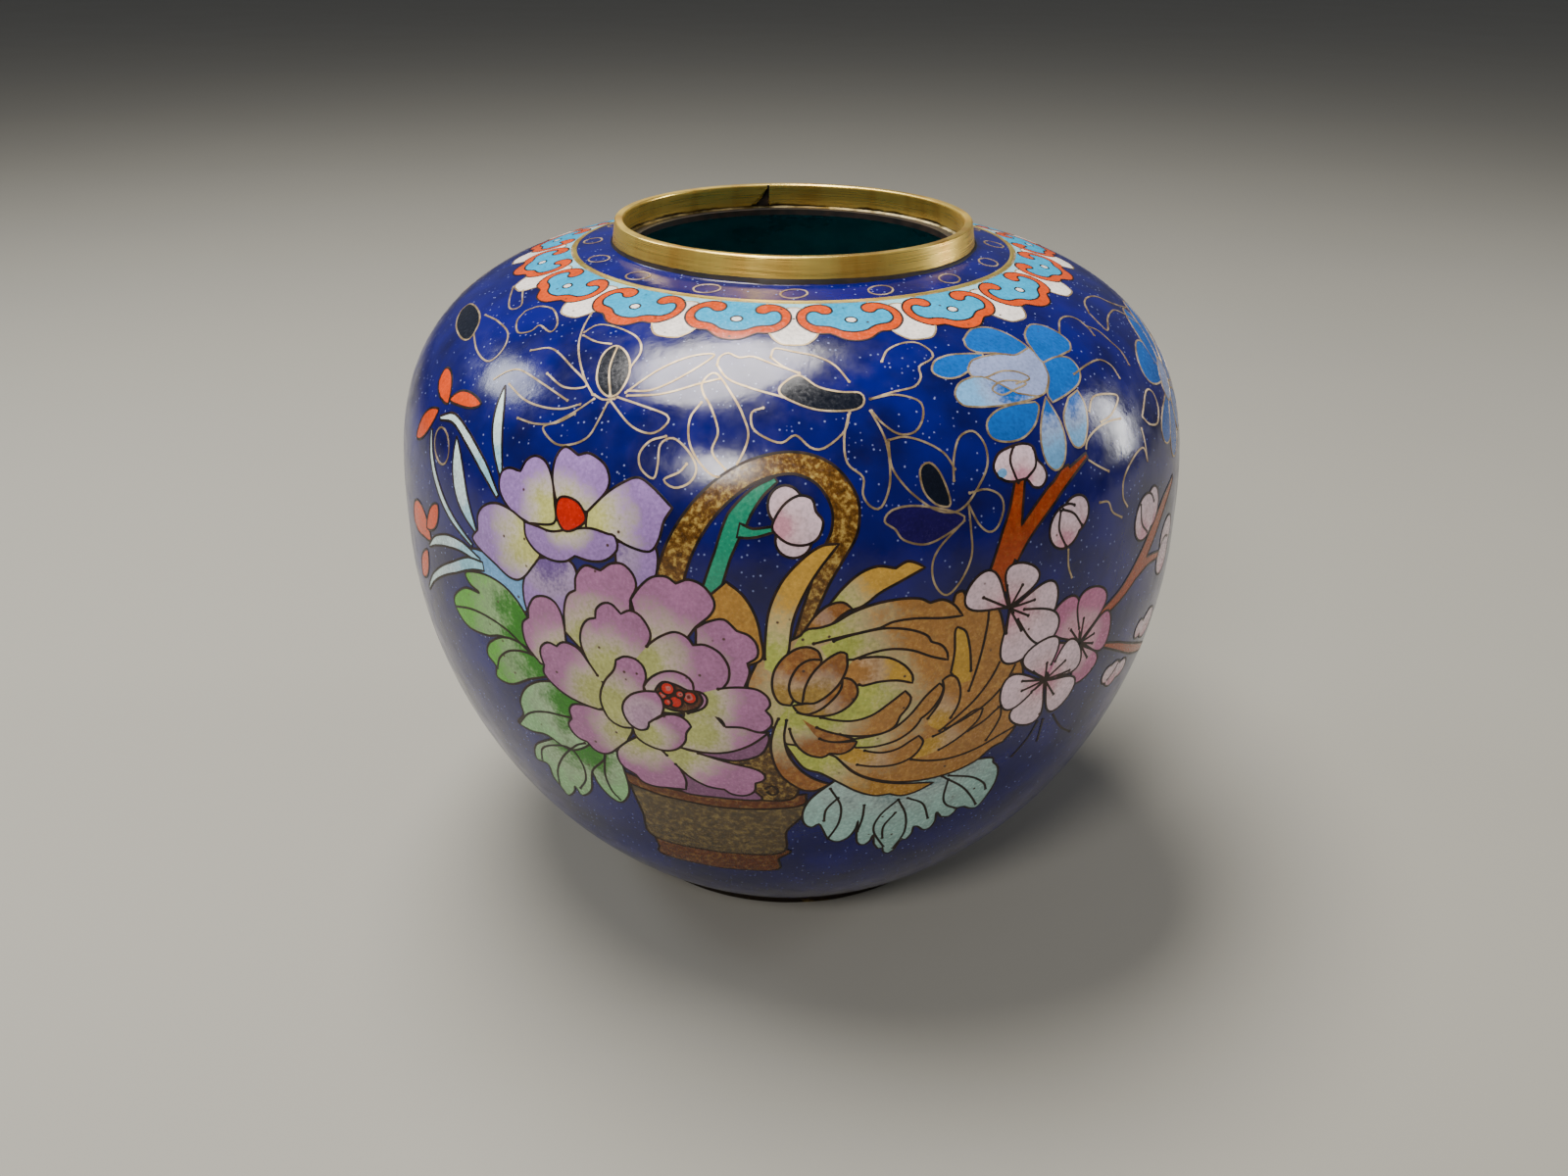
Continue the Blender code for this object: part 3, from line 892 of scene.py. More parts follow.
def chrysanthemum(picture):
    """The large yellow flower at the right of the basket: curling petals that sweep out of a rolled bud."""
    piece, glazes, orange = "chrysanthemum", ("ochre", "moss"), ("orange_pale", "moss")
    body = edge(
        [(-6, 4), (0, 8), (8, 12), (16, 14), (24, 14), (29, 13)],
        [(30.2, 13.4), (30.6, 15), (32, 15.3)],
        [(33, 14.6), (37, 12.6), (40, 10), (41.4, 6), (42.2, 3), (44, 0), (46.5, -3), (47.4, -8),
         (46.8, -13), (46.4, -16), (46.9, -19)],
        [(44.4, -22.2), (42, -22.8)],
        [(40.6, -23.8), (38.4, -25.6), (34, -27.2), (28, -27.9), (22, -27.4), (16.5, -25.6), (12.5, -23)],
        [(8.8, -18.6), (2, -18), (-4, -10), (-8, -3)],
    )
    picture.cell(piece, body, glazes, (9, -6), (37, -6), 60)
    stray = edge([(-11.8, 19), (-8.8, 16.6), (-6.6, 12.8), (-5.6, 8.6), (-5.3, 4)], [(-9, 2), (-16, 8)],
                 [(-15, 16)])
    picture.plain(piece, "orange", stray)
    picture.outlined(piece, (
        (orange, (-3, 1), (2, 22), [(-4.8, 2), (-4.7, 8), (-4, 14), (-1.8, 19.4), (1.5, 23.4), (5, 26)],
         [(8.3, 26.4), (5, 22), (2.4, 17.5), (0.3, 12)], [(-0.4, 6), (-2, 1)]),
        (orange, (6, 12), (19, 20), [(7, 15.4), (9.2, 18.2), (12.2, 20.8), (15.4, 21.9)],
         [(18.7, 21.3), (20.8, 22.4), (22.8, 21.8)], [(24.2, 20.9), (20, 18.9), (16, 16.9), (13, 14.6)],
         [(10, 13.6)]),
        (("bronze", "ochre"), (3, 10), (10, 14.5), [(2.3, 9.9), (4.2, 12.8), (6.6, 14.9), (9.2, 15.4)],
         [(10.9, 14.1), (9, 12.8), (7.3, 11.2), (5, 10.4)]),
        (glazes, (1, 7), (30, 11),
         [(0.4, 6.5), (2.4, 9.9), (5.2, 10.5), (7.8, 11.4), (11, 13.3), (15, 14.7), (19.5, 15.3),
          (23.4, 15)], [(25.6, 13.9), (28, 14.2), (30.4, 12.8)],
         [(32.3, 10.3), (28, 10.5), (23, 11.1), (18.8, 10.9)], [(16.3, 9.9), (9, 8.5), (3, 7)]),
        (glazes, (5, 6), (28, 4), [(5.3, 6.6), (9, 8.2), (13, 9.2), (17.5, 9.7), (22, 8.9), (25.2, 7.4)],
         [(26.2, 5.9), (28.4, 4.8), (29.6, 3)],
         [(29.8, 1.5), (26.5, 2.7), (22.5, 4.6), (18.6, 5.3), (15, 4.9)], [(11.4, 3.7), (7, 4)]),
        (("amber", "ochre"), (11, 1), (22, -1),
         [(11.4, 3.7), (14.6, 4), (18.2, 3.5), (21.2, 1.6), (22.9, -0.8)],
         [(22.9, -2.4), (20, -1.5), (16.6, -1.4)], [(13.4, -2), (9.5, 0)]),
        (("amber", "amber"), (33.4, -5), (32, 8), [(30.6, -1.4), (31.1, 3), (30.9, 7.2)],
         [(31.4, 8.1), (33.2, 6.8), (34.3, 3), (34.8, -1)], [(35, -4), (32.6, -4)]),
        (("ochre", "amber"), (26, -19), (38, -12), [(26, -16.6), (30, -15.2), (33.6, -13), (36.4, -11.4)],
         [(38.4, -11.5), (37.6, -14), (35, -16.6), (31.5, -18.9), (27.6, -20.6)],
         [(24.2, -21.2), (25.6, -19)]),
        (("ochre", "amber"), (28.5, -14), (31, -2),
         [(29, -2.8), (30.4, -2), (32, -2.9), (33, -6), (32.7, -9.2), (31, -12.6)],
         [(29.3, -14.8), (27, -13)], [(26.6, -11.2), (28.6, -8), (29.4, -5)]),
        (glazes, (8, -15), (28, -5),
         [(12.6, -16.5), (16.5, -16.6), (20.5, -15.6), (23.4, -13.6), (24.9, -11.6)],
         [(25.1, -11), (27, -9.4), (28.8, -6.6), (29.3, -4.4)],
         [(28.4, -3.4), (25.8, -5.8), (22.8, -9.8), (19.6, -12.6), (16, -13.8)], [(11, -14.4)]),
        (("ochre", "amber"), (11, -18), (25, -17),
         [(12.6, -16.5), (15, -17.7), (18, -18.4), (21, -17.8), (23.4, -16.2)],
         [(25, -15.2), (26, -16.8), (25.3, -19), (23.6, -20.9), (20.5, -22.1), (16.5, -22), (12.4, -20.8)],
         [(9, -18.8), (10.5, -17.6)]),
        (("orange", "moss"), (3, -18), (21, -29),
         [(-1, -15), (2.6, -21.2), (6, -22.9), (9.6, -25.8), (13.4, -28.9), (17, -30.7)],
         [(20, -30.7), (22.4, -31.8), (25.4, -31.4)],
         [(29.3, -29.4), (26.4, -28.7), (22, -27.9), (17, -26.2), (12.4, -23.2)], [(8.8, -18.6), (4, -16)]),
        (("bronze", "moss"), (-1.5, -6), (2, -27),
         [(-0.3, -6.5), (-2.2, -9), (-3.3, -12.6), (-3.6, -16.4), (-2.9, -20.4), (-1.6, -23.6)],
         [(0.2, -25.8), (2.4, -27.6), (4.8, -28), (6.6, -27)],
         [(7.9, -26.2), (4.6, -24.4), (1.8, -21.6), (-0.3, -17.8), (-1.1, -13.6), (-0.8, -10)]),
        (("bronze", "moss"), (0, -8), (10, -15),
         [(-0.2, -8), (0, -12), (1.4, -15.6), (3.6, -17.9), (6.2, -18.6)],
         [(7.6, -17.6), (9.8, -17.9), (11.8, -16.8), (12.7, -15)],
         [(12.1, -14.8), (8.6, -14.8), (5.6, -13.8), (3.8, -11.6)], [(2.2, -9)]),
        (("bronze", "bronze"), (4, -11), (12, -14), [(2.2, -9), (5.6, -11.4), (9.6, -13)],
         [(12.4, -14.4), (8.6, -14.8), (5.6, -13.8), (3.8, -11.6)]),
        (glazes, (2, -9), (22, -7),
         [(2.2, -9), (5, -8.6), (8.6, -9.5), (12, -9.8), (15.4, -8.8), (18.4, -6.6)],
         [(21.6, -4), (22.8, -5.6), (22.4, -7.6)],
         [(20.9, -9.7), (20, -12), (17.6, -13.4), (13.8, -13.7), (9.6, -13), (5.6, -11.4)]),
    ), 3.4)
    picture.wires("dark", (
        [(29.3, -14.8), (33, -11.8), (36.5, -8.6), (39.5, -4.6), (41.2, -1.2), (41.4, 0.5)],
        [(30.5, -14.6), (34.5, -13), (38.5, -10.8), (41.5, -8.2), (43.8, -5.2), (45.3, -2.2)],
        [(23.9, -21.3), (27, -22.3), (31, -22.9), (35, -22.6), (39, -21.6), (43, -20), (46.8, -18.8)],
        [(35.6, -16.4), (39, -14.7), (41.2, -12.9), (42.6, -12)],
        [(42.6, -12), (42.8, -14.5), (41.8, -17.2), (40.1, -20.2)],
        [(34.8, -6.3), (36, -2), (37, 2.5), (37.7, 7.5), (37.8, 11)],
        [(32.3, 15), (33, 12.6), (34.2, 10.8)],
    ))
    bud = ("bronze", "bronze_pale")
    picture.outlined(piece, (
        (bud, (4, -7), (12, -2),
         [(1.2, -7.6), (5, -8.4), (8.2, -8), (10.8, -6.4), (12.4, -4), (12.2, -1.8), (11, -0.4)],
         [(9.6, -0.1), (8, -4), (4, -6)]),
        (bud, (1, -7), (9, -1), [(0.4, -5.9), (1.4, -7.4), (3.2, -7.9), (5.4, -7), (7.6, -5), (9.2, -2.6)],
         [(9.6, -0.4), (7, -3), (4.4, -5)]),
        (bud, (-2, -5), (3, 6),
         [(0, -5.9), (-2, -5.4), (-3.3, -2.8), (-3.3, 0.6), (-2, 3.6), (0.4, 5.9), (2.8, 6.6), (4.8, 5.8)],
         [(5.6, 4), (3, 0)]),
        (bud, (1, -5), (4, 4),
         [(5.6, 3.9), (3.4, 3.9), (1.4, 2.6), (0, 0), (-0.3, -2.4), (0.5, -4.6), (2.2, -5.5)],
         [(4, -5), (5, 0)]),
        (bud, (4, -4), (9, 5), [(2.2, -5.3), (2.7, -1.8), (4.2, 1.4), (6.6, 4), (9, 5.4)],
         [(10.2, 4.9), (10.3, 2), (9, -1.2), (6.8, -3.8), (4.4, -5.4)]),
    ))


def blue_leaf(picture):
    """The pale blue leaf under the yellow flower, with round lobes along its lower edge."""
    outline = edge(
        [(10, -24), (4.5, -30), (2.7, -35), (3.1, -38.8), (4.6, -40.2), (6, -39)],
        [(6.8, -41), (8, -44.8), (9.9, -46.4), (12, -45.2), (13.5, -42)],
        [(14, -38.6)],
        [(13.8, -43), (14.2, -47.4), (15.5, -48.9), (16.8, -47.6), (17.5, -45)],
        [(17.8, -49), (18.9, -51.6), (19.8, -51.6)],
        [(20.1, -53.6), (21.2, -54.9), (22.6, -53.2), (23.6, -49.6)],
        [(24.9, -49.4), (26, -47), (26.2, -44.2)],
        [(27.3, -44.8), (28.6, -46.6), (30, -46.4), (31, -44), (31, -40.4)],
        [(32.2, -42.6), (34, -43.4), (35.4, -42.2), (35.9, -40.8)],
        [(37.6, -41), (39.6, -42.8), (41.2, -42.9), (42.8, -40), (44.4, -35.6), (44.6, -31), (43, -28),
         (39, -25.4)],
    )
    picture.cell("blue_leaf", outline, ("leaf_pale", "leaf_teal"), (22, -13), (22, -53))
    picture.wires("dark", (
        [(8, -27.5), (10.2, -33), (10, -39), (8, -45)],
        [(9.6, -30.5), (7.4, -34), (7, -38)],
        [(15, -33.5), (14.8, -38), (14, -43)],
        [(22, -33), (18.6, -37.5), (17.4, -43), (20, -51)],
        [(22, -33), (24, -39), (24.2, -46), (22.2, -52.6)],
        [(24, -33), (27.5, -36), (29.2, -42)],
        [(21.7, -37.5), (19.5, -42), (19.5, -47)],
        [(32.5, -29.4), (32, -35), (33, -38.3), (35.4, -40.6)],
        [(31, -28), (36, -33), (39, -38), (40.6, -41.6)],
        [(32.5, -28.2), (38, -30.6), (41.4, -34), (42.3, -36.6)],
    ))


def green_leaves(picture):
    """The green leaves at the left, under the peony."""
    low, high = ("leaf_mint", "leaf_green"), ("leaf_spring", "leaf_green")
    picture.curved("leaves", (
        (high, (-54, 1), (-80, -1),
         [(-50, -4.5), (-54.5, 4.5), (-59.5, 8.6), (-66, 9.4), (-72.6, 7.6), (-71.5, 5.5), (-68.2, 4.6),
          (-73.5, 3.8), (-78.3, 0.2), (-78.3, -2.6), (-74, -5.2), (-67, -4.6), (-61, -2.9)]),
        (high, (-52, -5), (-68, -13),
         [(-50, -5.5), (-56, -2.8), (-61.5, -3), (-66.5, -6.2), (-67.8, -9.5), (-65.4, -11.4),
          (-65.6, -14.4), (-61, -14.3), (-55, -10.6), (-50, -8)]),
        (low, (-42, -24), (-35, -39),
         [(-44, -24), (-47, -27), (-43, -33), (-42, -31), (-40.6, -35.2), (-38, -38.9), (-35.4, -39.5),
          (-33.3, -35), (-33.6, -29), (-35.8, -22)]),
        (low, (-43, -22), (-50, -46),
         [(-42, -19), (-52, -26), (-57, -30.5), (-57.9, -35.6), (-54.4, -35.6), (-53.8, -40), (-52, -43.4),
          (-50.6, -45.8), (-48.2, -42.6), (-47.4, -39.8), (-46, -42.6), (-42.9, -38.6), (-41.6, -31.2),
          (-38, -25)]),
        (low, (-44, -14), (-61, -24),
         [(-43, -9), (-50.5, -9.5), (-56, -12.8), (-59, -17.8), (-58.8, -21.6), (-61.2, -25.3),
          (-57, -25.9), (-52.6, -24.9), (-46, -26.5), (-40, -20)]),
    ))
    picture.wires("dark", (
        [(-78.4, -2.3), (-72, -0.4), (-66, 0), (-60, -1), (-54.5, -3.8), (-51, -5.2)],
        [(-65, -11.8), (-63.5, -8.5), (-60, -5.6), (-55.5, -4.3), (-51.5, -4.6)],
        [(-60.6, -25), (-57, -20.6), (-52, -18), (-45.6, -17)],
        [(-52.4, -42.2), (-51.6, -36), (-49, -30), (-45, -24.8), (-42.5, -23)],
        [(-56, -34.8), (-55, -30.5), (-51.5, -27.6), (-46.6, -26.2), (-44, -30), (-43.8, -35),
         (-46, -39.8)],
        [(-37.9, -25), (-38.5, -31), (-37.5, -36), (-35.8, -38.6)],
    ))


def orchid(picture):
    """The pale grass and the red flowers at the far left."""
    picture.curved("orchid", (
        (("sky_pale", "sky_pale"), (-62, 10), (-70, 12),
         [(-71, 13), (-66, 14.2), (-60, 13), (-53, 14), (-51, 8), (-56, 4.5), (-61, 7.5), (-67, 8.6),
          (-71, 9.8)]),
    ))
    grass = ("ice", "ice_blue")
    picture.blades("orchid", grass, 0.8, (
        ([(-59.2, 29), (-61.4, 38), (-61.1, 47)], 3),
        ([(-67.2, 17), (-72.6, 24), (-75, 34)], 4.6),
    ))
    picture.ribbons("orchid", grass, (
        ([(-60.6, 26.6), (-65, 31), (-71, 34.9), (-77, 36.9), (-83.2, 35.4)], [1, 2.4, 2.4, 1.8, 0.7]),
        ([(-69.4, 14.4), (-77, 18), (-82, 22), (-85.6, 27), (-86.9, 32.2)], [0.8, 1.7, 1.9, 1.7, 0.7]),
        ([(-67, 11.8), (-73, 12.8), (-79, 12.1), (-85, 10), (-89.4, 7.2)], [1.2, 2.2, 2.6, 2, 0.5]),
        ([(-66, 11), (-71, 10), (-77, 7.1), (-83, 4), (-89, 0), (-93.4, -4.4)], [1.8, 2.6, 2.4, 2, 1.5, 0.6]),
    ))
    picture.blades("orchid", ("scarlet", "scarlet"), 0.6, (
        ([(-80.6, 38.8), (-84, 41.5), (-88, 41)], 6),
        ([(-80.3, 39.6), (-75, 41.2), (-67.8, 42)], 3),
        ([(-84.6, 36.6), (-90, 33), (-96.2, 28)], 4),
        ([(-88, 9), (-94, 11.5), (-100, 9)], 7.6),
        ([(-90, 11), (-86.5, 14), (-82.8, 18.4)], 4),
        ([(-91, 5.6), (-94, 1.5), (-97.6, -3)], 4.4),
    ))
    picture.wire("gold", disc((-81.2, 30.6), 3.4), True)


def blossom(picture, glazes, middle, petals, stamens):
    """A small blossom: round petals, each as (right, up, radius), and stamens that end in these tips."""
    for *centre, radius in petals:
        centre = np.array(centre, float)
        tip = centre + (centre - middle) / math.dist(centre, middle) * radius
        outline = petal(middle, tip, PETAL_OVERLAP * 2 * radius, fullness=PETAL_FULLNESS)
        picture.cell("blossoms", outline, glazes, middle, tip, PETAL_OPENING)
    for tip in stamens:
        halfway = ((middle[0] + tip[0]) / 2, (middle[1] + tip[1]) / 2)
        picture.wire("dark", [middle, halfway, tip])


def plum(picture):
    """The plum branch at the right, with its buds and three blossoms."""
    branches = (
        ([(42, 20), (45, 24.4), (51, 30), (55.6, 32.8), (60.6, 35.2)], [3.4, 3.4, 3.6, 2.2, 1]),
        ([(38.8, 14), (40.2, 19), (41.8, 25), (42.6, 29), (43.4, 34.4)], [5.4, 4.8, 4.2, 3, 2.2]),
        ([(52, 31), (54, 33.4), (55.6, 34.2)], [2.6, 1.8, 0.8]),
        ([(66, 0), (71, 1.6), (76, 3.4), (82, 7), (88, 12), (94, 16.6), (101, 19.6)],
         [2, 2.4, 3, 4.2, 4.2, 3.4, 1.2]),
        ([(80, 5.6), (87, 6.2), (95, 4.8)], [3.4, 2.2, 1.4]),
        ([(70.6, -7), (78, -10.6), (86, -15), (94, -19), (104, -24)], [1, 2, 2.6, 2.4, 1.2]),
    )
    picture.ribbons("branches", ("terracotta", "terracotta"), branches, 40)
    pale = ("blush", "pink")
    lobes = ((57.4, 24.9, 3.8, 3.6), (54.9, 23.2, 4.1, 4.2), (86.4, 18.2, 3.4, 4.2), (82.8, 17.2, 4.6, 4.8))
    lobes += ((99, 7.4, 4.6, 4.4), (98, 3.2, 4.6, 4.2), (82.4, -18.6, 2.6, 2.4), (75.8, -17.2, 2.4, 2.4))
    lobes += ((78.4, -18.2, 3.2, 3.4), (88.6, -11, 2.4, 2.4), (94.4, -12, 4.6, 3.6))
    for across, up, wide, tall in lobes:
        start, end = (across, up - tall), (across + wide, up + tall)
        picture.cell("buds", disc((across, up), wide, tall), pale, start, end, 8)
    twin = [
        (37.6, 37), (38.5, 39.4), (41, 40.3), (44, 40.5), (46.5, 39.5), (47.5, 37), (49, 35.5), (49.7, 33.5),
        (48.5, 32), (46.5, 32.3), (44.8, 34), (42, 34), (39.5, 34.8),
    ]
    picture.cell("buds", smooth(twin, True), pale, (44, 34), (44, 41))
    picture.cell("buds", disc((39.4, 35.9), 1.1, 0.9), ("sky_pale", "sky_pale"), (39, 36), (40, 37), 9)
    picture.wires("dark", (
        [(42, 40.3), (41.2, 38), (42.3, 35), (43, 33.7)],
        [(44.8, 34), (47, 35.8), (47, 38), (46.6, 39.2)],
        [(54, 26.6), (57, 25.2), (59.4, 22.4)],
        [(53.4, 26.4), (53.2, 23), (55.2, 19.4)],
        [(80.4, 20.4), (81.4, 16.4), (84.4, 13.6)],
        [(76.4, -19), (78.8, -17.6), (80.4, -15.6)],
        [(53, -20), (51, -24), (47.6, -28)],
        [(54.6, -20), (54.2, -26)],
        [(57.6, -20), (61, -25), (65.4, -29)],
    ))
    blossom(
        picture,
        ("pink_deep", "pink"),
        (62.2, -3.4),
        ((57, 4, 4), (64.6, 3.8, 4.4), (68.4, -3.4, 4.2), (64.8, -9.6, 3.9), (57, -5, 4)),
        ((59, 0.6), (62.6, 2), (66.6, -2.8), (66.6, -5), (65.4, -8), (61.6, -6.6)),
    )
    blossom(
        picture,
        pale,
        (42.4, 9.8),
        ((36.6, 14.2, 3.7), (44.4, 14.6, 3.8), (50.2, 9, 4), (45.3, 1.8, 4.1), (52, 3.2, 3.2)),
        ((36.4, 13.2), (41.4, 14.6), (45, 14), (48.2, 10.2), (47, 7.2), (45.6, 4.4), (42.1, 4.6)),
    )
    blossom(
        picture,
        pale,
        (53.2, -9),
        ((51.8, -3.6, 4.3), (59, -6.2, 4), (58, -13.9, 4.1), (49.9, -15.2, 4.1), (46, -9.4, 3.9)),
        ((49.8, -6), (53.2, -5), (58.4, -6.2), (60.2, -9.2), (56.4, -13.8), (50, -10.8), (47.4, -9.8),
         (47.2, -7.4)),
    )


